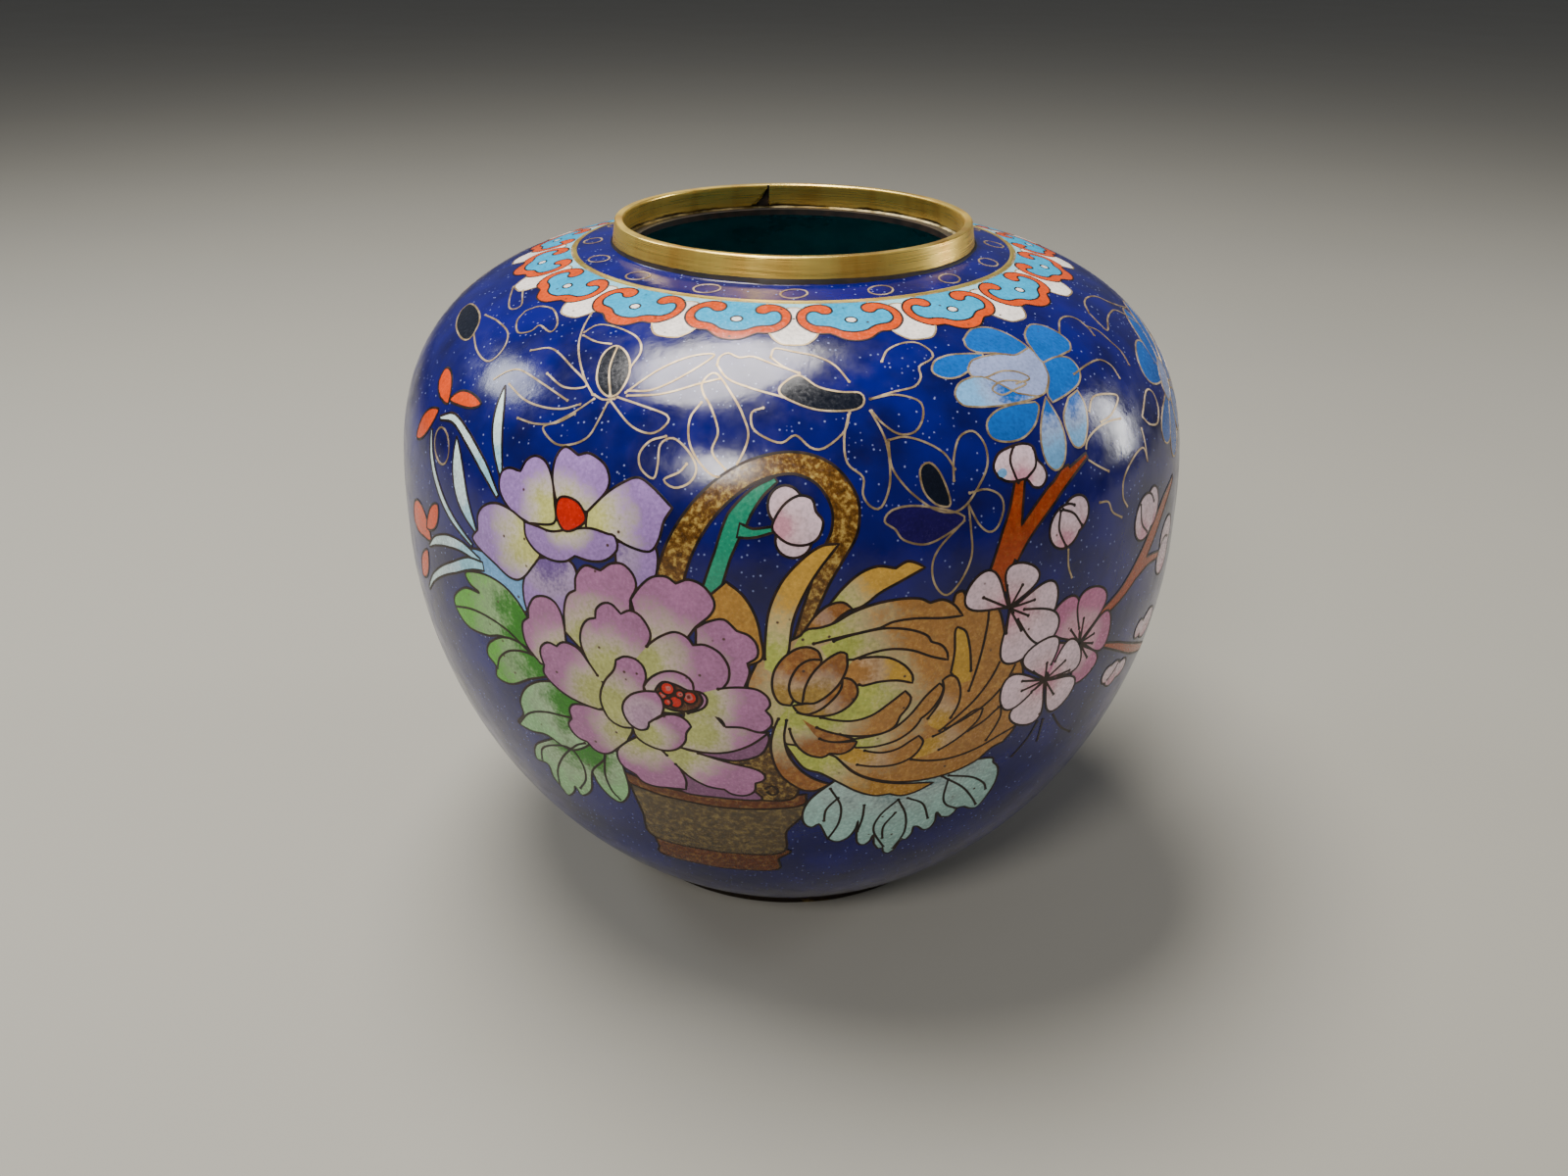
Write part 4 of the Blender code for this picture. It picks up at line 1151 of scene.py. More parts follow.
def scroll(picture):
    """Gilt outlines of leaves and flowers on the shoulder, with a blue flower at the right."""
    flower, deep = "scroll_flowers", ("sky", "sky")
    pale, grey = ("sky_pale", "sky"), ("lilac_grey", "lilac_grey")
    picture.outlined(flower, (
        (deep, (46, 57), (34, 66), [(33.4, 64.4), (35.8, 66.7), (40, 66.2), (44.5, 63.3), (48.8, 59)],
         [(50, 56), (44.8, 58)], [(40, 59.6), (36.4, 60.4), (34, 62)]),
        (deep, (40, 58), (26, 58),
         [(34.6, 57.2), (31.4, 55.6), (28.4, 55.7), (26, 57.4), (26.6, 59.9), (29.4, 60.9), (33, 60.7)],
         [(37, 60), (38, 57)]),
        (pale, (44, 52), (30, 51),
         [(36, 55.4), (31.6, 54.4), (30.2, 52), (31.6, 49.7), (35, 48.8), (40, 48.3), (46, 48.2)],
         [(50, 48.5), (44, 54)]),
        (grey, (44, 54), (52, 54),
         [(33.4, 57), (34.6, 58.8), (38.2, 59.3), (41.6, 59), (45, 58.1), (48.8, 59)],
         [(48.8, 59), (51.4, 56), (52.5, 52.6), (51.6, 49.8), (49.4, 48.5)],
         [(44, 50), (37.2, 54.4), (34.2, 55.2)]),
        (deep, (51, 56), (61, 60),
         [(49, 60), (49, 62.4), (51.4, 64.1), (55.4, 62.8), (59.4, 59.8), (61.7, 57)],
         [(61, 55.5), (57, 55.2), (51.8, 55)]),
        (deep, (52, 50), (62, 51),
         [(51.8, 54.9), (56, 55.2), (60, 53.9), (62, 50.8), (60.8, 48.6), (57, 47.4)],
         [(52.4, 46.6), (51.4, 48.6), (52.5, 51.6)]),
        (deep, (47, 46), (37, 44),
         [(47.9, 47.6), (43, 48), (38.8, 47.5), (36.5, 45.6), (37.2, 42.8), (40.4, 41.4), (44.4, 41.5),
          (47.4, 43.4), (48.7, 46)], [(48.6, 47)]),
        (pale, (51, 48), (53, 34),
         [(50.8, 48), (49.2, 44.4), (48.6, 40.4), (49.6, 36.4), (52, 34.2), (54.2, 35.2), (54.9, 38.6),
          (54.2, 42)], [(52.6, 45)]),
        (pale, (58, 47), (58, 37),
         [(60, 47.4), (61.6, 44), (61.4, 40), (59.8, 37.2), (57.4, 37.4), (55.6, 40.4), (55, 43.6)],
         [(57, 46.6)]),
    ))
    for base, tip, width, bend in (
        ((104, 39), (88.6, 46.8), 8.4, -0.6),
        ((105, 37), (93.4, 30), 7.4, 0.8),
        ((104, 40), (99.6, 54), 8, 0),
        ((106, 40), (113, 52.4), 8.4, 0.8),
        ((107, 38), (120, 41), 8.6, 0),
        ((106, 36), (116, 28), 8, -0.8),
        ((104, 36), (103, 23.4), 7.6, 0),
    ):
        picture.cell(flower, petal(base, tip, width, bend), deep, base, tip)
    picture.plain(flower, "lilac_grey", disc((104.6, 38.4), 4.4, 4))
    picture.wire("gold", [(37.2, 54.5), (41, 55.2), (45, 54.2), (47.4, 52.4), (44, 52)])
    picture.wire("gold", [(38.2, 51.8), (40, 53), (43, 52.8), (46.4, 51.6), (43.4, 50.9), (40.4, 50.3)], True)
    for glaze, outline in (
        ("ink",
         [(-38, 54), (-37.4, 58.8), (-34.8, 61.6), (-32, 60), (-31, 56), (-32.6, 51.6), (-34.8, 50.2),
          (-37, 51.4)]),
        ("ink", [(22.9, 38.6), (24.6, 39.7), (26.6, 37.8), (28.4, 33.8), (28.6, 31.6), (26, 32.2),
                 (23.6, 34.8)]),
        ("ink", [(-79.4, 55), (-82, 56.8), (-88, 57), (-94, 55.8), (-96, 53.4), (-92, 51.4), (-84, 50.8),
                 (-80, 52)]),
        ("ink",
         [(-2.6, 54.6), (-1.8, 56.4), (1, 58.2), (4.4, 55.6), (8.4, 54.4), (12, 54), (12.6, 51.8),
          (10.4, 50.5), (4, 50.8), (-1.2, 53)]),
        ("plum_dark",
         [(16.4, 30), (18.4, 28.4), (20, 26.4), (24, 25.2), (28, 26.4), (31.6, 28.6), (30.6, 30),
          (25.8, 31.6), (21, 32.4), (17.6, 31.8)]),
    ):
        picture.plain("scroll_buds", glaze, smooth(outline, True))
    picture.wires("gold", (
        [(-14, 60), (-13.6, 62), (-12, 63.2), (-10, 62.2), (-7.4, 62.6), (-4, 61), (1, 58.8)],
        [(-14, 60), (-12, 57), (-8, 55.2), (-2, 53.4)],
        [(-4.2, 62.6), (-3.4, 65), (0, 64.2), (4, 63), (7.4, 60.6), (10, 56.6)],
        [(-4.2, 62.6), (-2, 60.4), (1, 58.6)],
        [(-16.6, 51.4), (-18.6, 48), (-18.6, 43.6), (-16.6, 40), (-13.6, 37.8), (-10.4, 39.6), (-8, 45),
         (-9, 49.4), (-11, 53.4), (-14.2, 58), (-16.6, 55.6), (-16.2, 53), (-15, 51), (-13.4, 46),
         (-14.4, 42.2), (-12, 39.2)],
        [(-5.4, 51), (-7.4, 50), (-7.2, 47), (-4.8, 45.2), (-2, 44.4), (0.4, 45.8), (3, 43.6), (5.4, 43.4),
         (9, 46.4), (10, 50)],
        [(9.8, 49.6), (9, 45), (9.6, 40.6), (12.4, 38), (12.4, 35), (13.8, 32.8), (15.8, 32.6), (17.3, 37),
         (16.6, 44), (13.8, 50.2)],
        [(14, 50.2), (16, 47.6), (19, 45.4), (22, 45.6), (23.6, 48.2), (23, 51.4), (18.4, 53.2),
         (13.8, 52.6)],
        [(13.8, 52.6), (18, 53.8), (22.2, 54.6), (23.6, 56.6), (23.4, 59), (25.8, 60.4), (26.3, 62),
         (23.6, 65), (20.4, 65.4), (17.4, 63.8), (16.2, 61)],
        [(-23, 44.2), (-26, 43), (-28, 40.4), (-27.6, 37.8), (-25.2, 36.4), (-24.4, 39), (-24, 42.6),
         (-21.6, 44), (-18.8, 42), (-17.2, 39), (-18.4, 36.4), (-21.2, 35.2), (-23.2, 36.4), (-20.4, 38),
         (-19, 39.6)],
        [(-34.4, 61.4), (-35.4, 56), (-34.6, 50.6)],
        [(-38.4, 50), (-41, 53.4), (-43.4, 59), (-43.6, 64), (-42.6, 69)],
        [(-38, 50), (-36, 49.4), (-33.6, 50)],
        [(-43, 62.4), (-39.4, 61.6), (-36, 61.8)],
        [(-43, 63.2), (-40, 66), (-35.4, 66.4), (-30.6, 64.8), (-29.2, 61.4), (-31, 57)],
        [(-38, 49.2), (-42, 46), (-46, 43.4), (-49.2, 41.6), (-46, 39.4), (-42, 40), (-38.6, 42),
         (-36.6, 45.4), (-35, 49)],
        [(-33, 50.4), (-28.6, 49.6), (-23, 48.2), (-23.2, 46.2), (-26, 44.4), (-30, 45.4), (-34.4, 49.4)],
        [(-60, 47.6), (-55, 45.8), (-50, 45.4), (-45, 46), (-41, 47.6)],
        [(-65, 47.4), (-61, 50), (-57, 51), (-50, 49.6), (-44, 47.8)],
        [(-56, 42), (-51, 42), (-46, 43.2), (-42, 45.6)],
        [(-56, 55.6), (-50, 57.4), (-44, 54.6), (-40, 51.6), (-45, 50.2), (-50, 52)],
        [(-31, 52), (-26, 53), (-20, 57), (-14.6, 62.4), (-19, 61.6), (-25, 57.6), (-31.4, 51.6)],
        [(-31, 51), (-24, 52.4), (-17, 55.4), (-13.4, 56.8)],
        [(-79, 57.6), (-72, 58.2), (-66, 57.4), (-64.6, 55), (-66, 52), (-69, 50), (-74, 50.6), (-79, 53)],
        [(-63, 63.4), (-64.2, 60.4), (-62, 58.2), (-58, 59.6), (-56, 61.6), (-52, 61), (-51, 63.6),
         (-54, 66.4), (-59, 65.8), (-63, 63.4)],
        [(-76, 66), (-70, 62), (-66, 64), (-70, 67)],
        [(17, 44.4), (20, 44.8), (24, 43.4), (27.6, 41), (29.6, 38)],
        [(17, 44.4), (17.6, 39.6), (20, 36), (23, 33.2), (26, 31.2), (29, 30.4), (31.4, 31), (33.6, 33.2),
         (36.2, 37.6), (35.8, 41.6), (33.4, 44.4), (30.6, 43.6), (29.4, 40), (29.4, 36)],
        [(32.6, 33.4), (36, 33.6), (39, 32), (39.8, 29.4), (38.6, 26.4), (36.8, 25.8), (34.6, 27.6),
         (32.4, 31.4)],
        [(32.4, 31.4), (33, 27), (33.4, 22), (31.6, 17.6), (28.8, 15), (26.4, 17.2), (25.6, 21), (27, 24.4),
         (31.6, 28.6)],
        [(59.6, 60), (61.6, 62.5), (65, 62.6), (68.6, 60.8), (71, 58), (72, 56)],
        [(75.4, 60.4), (76.8, 62.6), (81, 62.8), (87, 61.2), (93, 58), (99, 55.4), (106, 53)],
        [(75.4, 60.4), (77, 57.6), (79.2, 55.2), (83, 56.8), (88, 57), (94, 55.6), (106, 49)],
        [(70.6, 58.6), (74.6, 56.4), (78, 53), (81, 50), (82.4, 47)],
        [(60, 50.6), (65, 51.4), (70, 51.2), (74, 49), (76, 46)],
        [(62.6, 42.8), (64.4, 45), (69, 44.6), (73.4, 43), (70, 40.6), (66, 40)],
        [(60.4, 34.6), (61, 37.6), (64.4, 39.2), (69, 39.5), (73, 39)],
        [(60.4, 34.6), (64, 32.4), (67.4, 30.6)],
        [(82.4, 37), (86, 34.6), (90.6, 33.7), (92.6, 36), (91, 39.4), (87, 40.6), (82.4, 37)],
        [(74.4, 22), (72.6, 24.4), (73, 28), (77, 30.8), (81.4, 31.4), (83.2, 28.4)],
        [(81.4, 35), (82.4, 32), (83.2, 28.4)],
        [(64.6, 25.4), (67.4, 24.8), (69, 22.4), (72.4, 20.4)],
        [(56, 18.4), (56.4, 15), (57.6, 12.4)],
    ))


def front_picture():
    """Everything on the jar's front, from the back of the picture to its front."""
    picture = Picture()
    scroll(picture)
    orchid(picture)
    basket(picture)
    inner_twig(picture)
    pansy(picture)
    green_leaves(picture)
    blue_leaf(picture)
    chrysanthemum(picture)
    peony(picture)
    plum(picture)
    return picture


def back_picture():
    """Scrolls and a plum branch, for the side that the photo doesn't show."""
    picture = Picture()
    scroll(picture)
    plum(picture)
    return picture


# Points of outlines that are nearer to each other than this many millimetres count as one.
SAME_POINT = 1e-3

# Corners sharper than this are shaded as edges, on turned pieces and on wires.
TURNED_SHARP = math.radians(35)
WIRE_SHARP = math.radians(40)


def partition(cells):
    """Cuts overlapping cells into one flat mesh: its points, its triangles and the cell that owns each."""
    points, edges = [], []
    for cell in cells:
        first, count = len(points), len(cell["outline"])
        points += [Vector(spot) for spot in cell["outline"]]
        edges += [(first + step, first + (step + 1) % count) for step in range(count)]
    everything = np.vstack([cell["outline"] for cell in cells])
    low, high = everything.min(0), everything.max(0)
    for row, up in enumerate(np.arange(low[1], high[1], ROW_STEP)):
        for across in np.arange(low[0] + (row % 2) * CELL_STEP / 2, high[0], CELL_STEP):
            points.append(Vector((across, up)))
    made = delaunay_2d_cdt(points, edges, [], 0, SAME_POINT, False)
    flat = np.array([tuple(spot) for spot in made[0]])
    faces = np.array([face for face in made[2] if len(face) == 3])
    corners = flat[faces]
    across, beside = corners[:, 1] - corners[:, 0], corners[:, 2] - corners[:, 0]
    backwards = across[:, 0] * beside[:, 1] - across[:, 1] * beside[:, 0] < 0
    faces[backwards] = faces[backwards][:, ::-1]
    middles = corners.mean(axis=1)
    owners = np.full(len(faces), -1)
    for number, cell in enumerate(cells):
        owners[inside(middles, cell["outline"])] = number
    return flat, faces, owners


def borders(flat, faces, owners, cells):
    """Edges between triangles of different cells, with the higher cell of each."""
    sides = {}
    for face, owner in zip(faces, owners):
        for first, second in ((face[0], face[1]), (face[1], face[2]), (face[2], face[0])):
            sides.setdefault((min(first, second), max(first, second)), []).append(owner)
    found = []
    for pair, around in sides.items():
        low, high = min(around), max(around)
        if len(around) < 2:
            low = -1
        if low == high:
            continue
        middle = (flat[pair[0]] + flat[pair[1]]) / 2
        upper = cells[high]
        related = low >= 0 and cells[low]["piece"] == upper["piece"]
        if related and math.dist(middle, upper["start"]) < upper["root"]:
            continue
        found.append((pair, high))
    return found


def link(name, mesh):
    """An object of a mesh, at the origin."""
    made = bpy.data.objects.new(name, mesh)
    bpy.context.scene.collection.objects.link(made)
    return made


def finish_mesh(name, spots, faces, materials, normals=None):
    """A mesh object, shaded smooth, with these normals or with sharp corners."""
    mesh = bpy.data.meshes.new(name)
    faces = [tuple(int(corner) for corner in face) for face in faces]
    mesh.from_pydata([tuple(spot) for spot in spots], [], faces)
    for finish in materials:
        mesh.materials.append(finish)
    mesh.shade_smooth()
    if normals is None:
        mesh.set_sharp_from_angle(angle=TURNED_SHARP)
    else:
        mesh.normals_split_custom_set_from_vertices([tuple(normal) for normal in normals])
    return link(name, mesh)


def declare(made, node=None):
    """Fixes a finished piece to the jar."""
    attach(made, "root")
    if node:
        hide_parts(node)
    return made


def attribute(mesh, name, values, kind="FLOAT", field="value"):
    """Stores a value for each point of a mesh."""
    layer = mesh.attributes.new(name, kind, "POINT")
    layer.data.foreach_set(field, np.ravel(values))


# Radius of the bead at a wire's free end, as a share of the wire's width, and the number of its sides.
BEAD = 0.75
BEAD_SIDES = 10

# Takes a cell of one glaze out of the reach of the milky change between two glazes.
PLAIN = 10.0


def enamel_piece(name, cells, numbers, cut, turn, finish):
    """One closed skin of glass for each cell: its polished face, its edge and its hidden underside."""
    flat, faces, owners = cut
    sizes = bpy.context.scene.jar_sizes
    spots, normals, sides, tips, roots, climbs, grains = [], [], [], [], [], [], []
    total = 0
    for number in numbers:
        cell = cells[number]
        used, own = np.unique(faces[owners == number], return_inverse=True)
        if not len(used):
            continue
        own = own.reshape(-1, 3)
        count = len(used)
        top, outward = place(flat[used], sizes.enamel_rise, turn)
        bottom, _ = place(flat[used], -sizes.cell_depth, turn)
        spots += [top, bottom]
        normals += [outward, outward]
        sides += [own + total, own[:, ::-1] + total + count]
        pairs = np.vstack((own[:, :2], own[:, 1:], own[:, ::2][:, ::-1]))
        known = {(first, second) for first, second in pairs.tolist()}
        for first, second in ((first, second) for first, second in known if (second, first) not in known):
            here, ahead = first + total, second + total
            sides.append([(ahead, here, here + count, ahead + count)])
        tip, root = cell["glazes"]
        reach = math.dist(cell["start"], cell["end"])
        climb = np.hypot(*(flat[used] - cell["start"]).T) / reach - (tip == root) * PLAIN
        climbs += [climb, climb]
        tips.append(np.tile(colour(tip), (2 * count, 1)))
        roots.append(np.tile(colour(root), (2 * count, 1)))
        grains.append(np.full(2 * count, GRAINS.get(tip, 0.0)))
        total += 2 * count
    sides = [face for part in sides for face in part]
    made = finish_mesh(name, np.vstack(spots), sides, [finish], np.vstack(normals))
    attribute(made.data, "tip_glaze", np.vstack(tips), "FLOAT_COLOR", "color")
    attribute(made.data, "root_glaze", np.vstack(roots), "FLOAT_COLOR", "color")
    attribute(made.data, "climb", np.concatenate(climbs))
    attribute(made.data, "grain", np.concatenate(grains))
    return made


def new_tree(name, output, inputs):
    """A geometry nodes tree with these inputs, and the sockets that give them."""
    tree = bpy.data.node_groups.new(name, "GeometryNodeTree")
    for label, kind in inputs:
        tree.interface.new_socket(label, in_out="INPUT", socket_type=kind)
    tree.interface.new_socket(output, in_out="OUTPUT", socket_type="NodeSocketGeometry")
    return tree, add_node(tree, "NodeGroupInput").outputs


def wire_tree():
    """Geometry nodes that bend a flat strip on edge along each line, with a bead on each free end."""
    sizes = [(name, "NodeSocketFloat") for name in ("Width", "Height", "Bead")]
    lines, finish = ("Lines", "NodeSocketGeometry"), ("Finish", "NodeSocketMaterial")
    tree, given = new_tree("wire_strip", "Wires", [lines, *sizes, finish])
    outward = add_node(tree, "GeometryNodeInputNamedAttribute", {"Name": "outward"}, data_type="FLOAT_VECTOR")
    loose = add_node(tree, "GeometryNodeInputNamedAttribute", {"Name": "free_end"}, data_type="BOOLEAN")
    curve = add_node(tree, "GeometryNodeMeshToCurve", {0: given["Lines"]})
    standing = {"Curve": curve.outputs[0], "Normal": outward.outputs[0]}
    upright = add_node(tree, "GeometryNodeSetCurveNormal", standing, mode="FREE")
    flat = {"Width": given["Height"], "Height": given["Width"]}
    section = add_node(tree, "GeometryNodeCurvePrimitiveQuadrilateral", flat)
    along = {"Curve": upright.outputs[0], "Profile Curve": section.outputs[0], "Fill Caps": True}
    strip = add_node(tree, "GeometryNodeCurveToMesh", along)
    drop = {"Vertices": BEAD_SIDES, "Radius": given["Bead"], "Depth": given["Height"]}
    bead = add_node(tree, "GeometryNodeMeshCylinder", drop)
    aim = add_node(tree, "FunctionNodeAlignRotationToVector", {"Vector": outward.outputs[0]}, axis="Z")
    where = {"Points": given["Lines"], "Selection": loose.outputs[0]}
    what = {"Instance": bead.outputs[0], "Rotation": aim.outputs[0]}
    beads = add_node(tree, "GeometryNodeInstanceOnPoints", {**where, **what})
    real = add_node(tree, "GeometryNodeRealizeInstances", {0: beads.outputs[0]})
    both = add_node(tree, "GeometryNodeJoinGeometry")
    tree.links.new(real.outputs[0], both.inputs[0])
    tree.links.new(strip.outputs[0], both.inputs[0])
    done = add_node(tree, "GeometryNodeSetMaterial",
                    {"Geometry": both.outputs[0], "Material": given["Finish"]})
    add_node(tree, "NodeGroupOutput", {0: done.outputs[0]})
    return tree


def turning_tree():
    """Geometry nodes that repeat what they are given evenly round the jar's axis."""
    count, finish = ("Count", "NodeSocketInt"), ("Finish", "NodeSocketMaterial")
    tree, given = new_tree("repeat_round_axis", "Ring", [("Sector", "NodeSocketGeometry"), count, finish])
    one = add_node(tree, "GeometryNodeGeometryToInstance", {0: given["Sector"]}).outputs[0]
    copies = {"Geometry": one, "Amount": given["Count"]}
    many = add_node(tree, "GeometryNodeDuplicateElements", copies, domain="INSTANCE")
    step = reckon(tree, "DIVIDE", 2 * math.pi, given["Count"])
    angle = reckon(tree, "MULTIPLY", step, many.outputs["Duplicate Index"])
    about = add_node(tree, "ShaderNodeCombineXYZ", {"Z": angle}).outputs[0]
    turning = {"Instances": many.outputs[0], "Rotation": about, "Local Space": False}
    turned = add_node(tree, "GeometryNodeRotateInstances", turning)
    real = add_node(tree, "GeometryNodeRealizeInstances", {0: turned.outputs[0]})
    done = add_node(tree, "GeometryNodeSetMaterial",
                    {"Geometry": real.outputs[0], "Material": given["Finish"]})
    add_node(tree, "NodeGroupOutput", {0: done.outputs[0]})
    return tree


def run_tree(made, tree, finish, **values):
    """Runs a geometry nodes tree on an object and keeps its result as a plain mesh."""
    modifier = made.modifiers.new("build", "NODES")
    modifier.node_group = tree
    for socket in tree.interface.items_tree:
        if socket.in_out == "INPUT" and socket.name in values:
            modifier[socket.identifier] = values[socket.name]
        elif socket.in_out == "INPUT" and socket.name == "Finish":
            modifier[socket.identifier] = finish
    graph = bpy.context.evaluated_depsgraph_get()
    ready = made.evaluated_get(graph)
    mesh = bpy.data.meshes.new_from_object(ready, preserve_all_data_layers=True, depsgraph=graph)
    made.modifiers.remove(modifier)
    old, name = made.data, made.data.name
    made.data = mesh
    bpy.data.meshes.remove(old)
    mesh.name = name
    return made


def wire_piece(name, lines, width, bead, turn, finish):
    """Wires along lines, each a list of places and whether its two ends are free."""
    sizes = bpy.context.scene.jar_sizes
    spots, edges, loose = [], [], []
    for line, free in lines:
        first = len(spots)
        spots += list(line)
        edges += [(spot, spot + 1) for spot in range(first, len(spots) - 1)]
        loose += [free[0]] + [False] * (len(line) - 2) + [free[1]]
    where, outward = place(np.array(spots), sizes.wire_rise - sizes.wire_height / 2, turn)
    mesh = bpy.data.meshes.new(name)
    mesh.from_pydata([tuple(spot) for spot in where], edges, [])
    attribute(mesh, "outward", outward, "FLOAT_VECTOR", "vector")
    attribute(mesh, "free_end", loose, "BOOLEAN")
    made = link(name, mesh)
    run_tree(made, wire_tree(), finish, Width=width, Height=sizes.wire_height, Bead=bead)
    made.data.shade_smooth()
    made.data.set_sharp_from_angle(angle=WIRE_SHARP)
    return made


def chains(pairs):
    """Joins edges into lines that stop where a corner has one edge or more than two."""
    around = {}
    for first, second in pairs:
        around.setdefault(first, []).append(second)
        around.setdefault(second, []).append(first)
    left = {frozenset(pair) for pair in pairs}
    stops = [corner for corner in around if len(around[corner]) != 2]
    lines = []
    for start in stops + list(around):
        for step in around[start]:
            if frozenset((start, step)) not in left:
                continue
            line = [start, step]
            left.discard(frozenset((start, step)))
            while len(around[line[-1]]) == 2:
                ahead = [spot for spot in around[line[-1]] if frozenset((line[-1], spot)) in left]
                if not ahead:
                    break
                left.discard(frozenset((line[-1], ahead[0])))
                line.append(ahead[0])
            lines.append((line, (len(around[line[0]]) == 1, len(around[line[-1]]) == 1)))
    return lines


def open_stretches(stroke, cells):
    """The stretches of a wire that no later cell hides."""
    line = stroke["line"]
    seen = np.ones(len(line), bool)
    for cell in cells[stroke["under"] :]:
        seen[inside(line, cell["outline"])] = False
    looped = math.dist(line[0], line[-1]) < OUTLINE_STEP / 2
    start = 0
    for spot in range(len(line) + 1):
        if spot == len(line) or not seen[spot]:
            if spot - start > 1:
                free = (start == 0 and not looped, spot == len(line) and not looped)
                yield line[start:spot], free
            start = spot + 1


def visible_wires(picture, kind, flat, pairs):
    """The lines of one kind of wire: those along these pairs of points, and those drawn inside cells."""
    lines = [(flat[line], free) for line, free in chains(pairs)]
    for stroke in picture.strokes:
        if stroke["kind"] == kind:
            lines += list(open_stretches(stroke, picture.cells))
    return lines


def pieces_of(cells):
    """The names of the pieces that cells belong to, each with the numbers of its cells."""
    for piece in dict.fromkeys(cell["piece"] for cell in cells):
        yield piece, [number for number, cell in enumerate(cells) if cell["piece"] == piece]


def lay_picture(title, picture, turn=0.0):
    """Builds a picture's cells, one piece for each of its plants, and its wires, one piece for each kind."""
    sizes = bpy.context.scene.jar_sizes
    cells = picture.cells
    cut = partition(cells)
    flat, faces, owners = cut
    for piece, numbers in pieces_of(cells):
        if np.isin(owners, numbers).any():
            made = enamel_piece(f"{title}_{piece}", cells, numbers, cut, turn, material("picture_enamel"))
            declare(made)
    found = borders(flat, faces, owners, cells)
    for kind, width, finish in (
        ("dark", sizes.flower_wire, "dark_copper_wire"),
        ("gold", sizes.scroll_wire, "gilt_wire"),
    ):
        pairs = [pair for pair, owner in found if (cells[owner]["piece"] in GILT_PIECES) == (kind == "gold")]
        lines = visible_wires(picture, kind, flat, pairs)
        if lines:
            made = wire_piece(f"{title}_{kind}_wires", lines, width, BEAD * width, turn, material(finish))
            declare(made)


def turned(name, section, finishes, kinds, angles=None, push=None):
    """Turns a closed section of (radius, height) about the axis. kinds gives each stretch its finish."""
    section = np.array(section, float)
    if angles is None:
        angles = np.linspace(0, 2 * np.pi, ROUND, endpoint=False)
    count, turns = len(section), len(angles)
    radius = np.tile(section[:, 0], (turns, 1))
    height = np.tile(section[:, 1], (turns, 1))
    if push:
        radius = radius + push(radius, height, angles[:, None])
    across, along = radius * np.cos(angles)[:, None], radius * np.sin(angles)[:, None]
    spots = np.stack((across, along, height), -1).reshape(-1, 3)

    def corner(turn, number):
        on_axis = section[number, 0] == 0
        return number if on_axis else turn % turns * count + number

    faces, slots = [], []
    for turn in range(turns):
        for number in range(count):
            ahead = (number + 1) % count
            here = corner(turn, number), corner(turn + 1, number)
            face = list(dict.fromkeys((*here, corner(turn + 1, ahead), corner(turn, ahead))))
            if len(face) > 2:
                faces.append(face)
                slots.append(kinds[number])
    used, flat = np.unique([spot for face in faces for spot in face], return_inverse=True)
    cuts = np.cumsum([0] + [len(face) for face in faces])
    faces = [flat[start:stop] for start, stop in zip(cuts, cuts[1:])]
    made = finish_mesh(name, spots[used], faces, [material(finish) for finish in finishes])
    made.data.polygons.foreach_set("material_index", slots)
    return made


def rounded(across, up, radius, first, last, steps=5):
    """Points (radius, height) of an arc about (across, up), between two angles in quarter turns."""
    turns = np.linspace(first, last, steps + 1) * math.pi / 2
    return [(across + radius * math.cos(turn), up + radius * math.sin(turn)) for turn in turns]


def wall_section():
    """The wall's closed section, and the number of the finish of each of its stretches."""
    cobalt, lining, base, copper, dirt = range(5)
    stretches = [(spot, cobalt) for spot in OUTSIDE.tolist()]
    for step in range(1, COLLAR_STEPS + 1):
        turn = math.pi / 2 * step / COLLAR_STEPS
        spot = (COLLAR_OUTER - COLLAR_WIDTH * math.sin(turn), NECK_HEIGHT - COLLAR_RISE * math.cos(turn))
        stretches.append((spot, cobalt))
    stretches[-1] = (stretches[-1][0], copper)
    # The ledge inside the rim is black: partly residue along the joint, partly painted shade for the dark
    # inside under the rim.
    stretches += [((COLLAR_INNER, RIM_FLOOR), dirt), ((MOUTH_RADIUS, RIM_FLOOR), dirt)]
    stretches += [(spot, lining) for spot in inner_line().tolist()]
    stretches += [((0.0, FLOOR_HEIGHT), base), ((0.0, BASE_HEIGHT), base)]
    stretches += [((RECESS_RADIUS, BASE_HEIGHT), copper), ((RECESS_RADIUS, SEAT_HEIGHT), copper)]
    return [spot for spot, _ in stretches], [kind for _, kind in stretches]


def build_wall():
    """The wall: cobalt outside, teal lining, dull base, copper where the brass sits, and black residue and
    painted shade on the ledge inside the rim.
    """
    section, kinds = wall_section()
    finishes = ["cobalt_enamel", "lining_enamel", "counter_enamel", "bare_copper", "solder_residue_and_shade"]
    declare(turned("jar_wall", section, finishes, kinds), "jar_body")


def seam_hollow(radius, height, angle):
    """How far the wedge-shaped hollow at the strip's seam pushes the rim's inner face outwards."""
    top = RIM_TOP - SEAM_LIP
    drop = (top - height) / (top - RIM_BOTTOM)
    across = radius * np.sin(angle - SEAM_ANGLE)
    behind = np.cos(angle - SEAM_ANGLE) > 0
    inner_face = radius < RIM_RADIUS - RIM_LEAN - RIM_WALL / 2
    hollow = (across > -SEAM_WIDTH / 8 * drop) & (across < SEAM_WIDTH * drop) & (drop > 0)
    return SEAM_DEPTH * (hollow & behind & inner_face)


# Steps up the rim's outer face and down its inner face.
RIM_OUTER_STEPS = 4
RIM_INNER_STEPS = 15


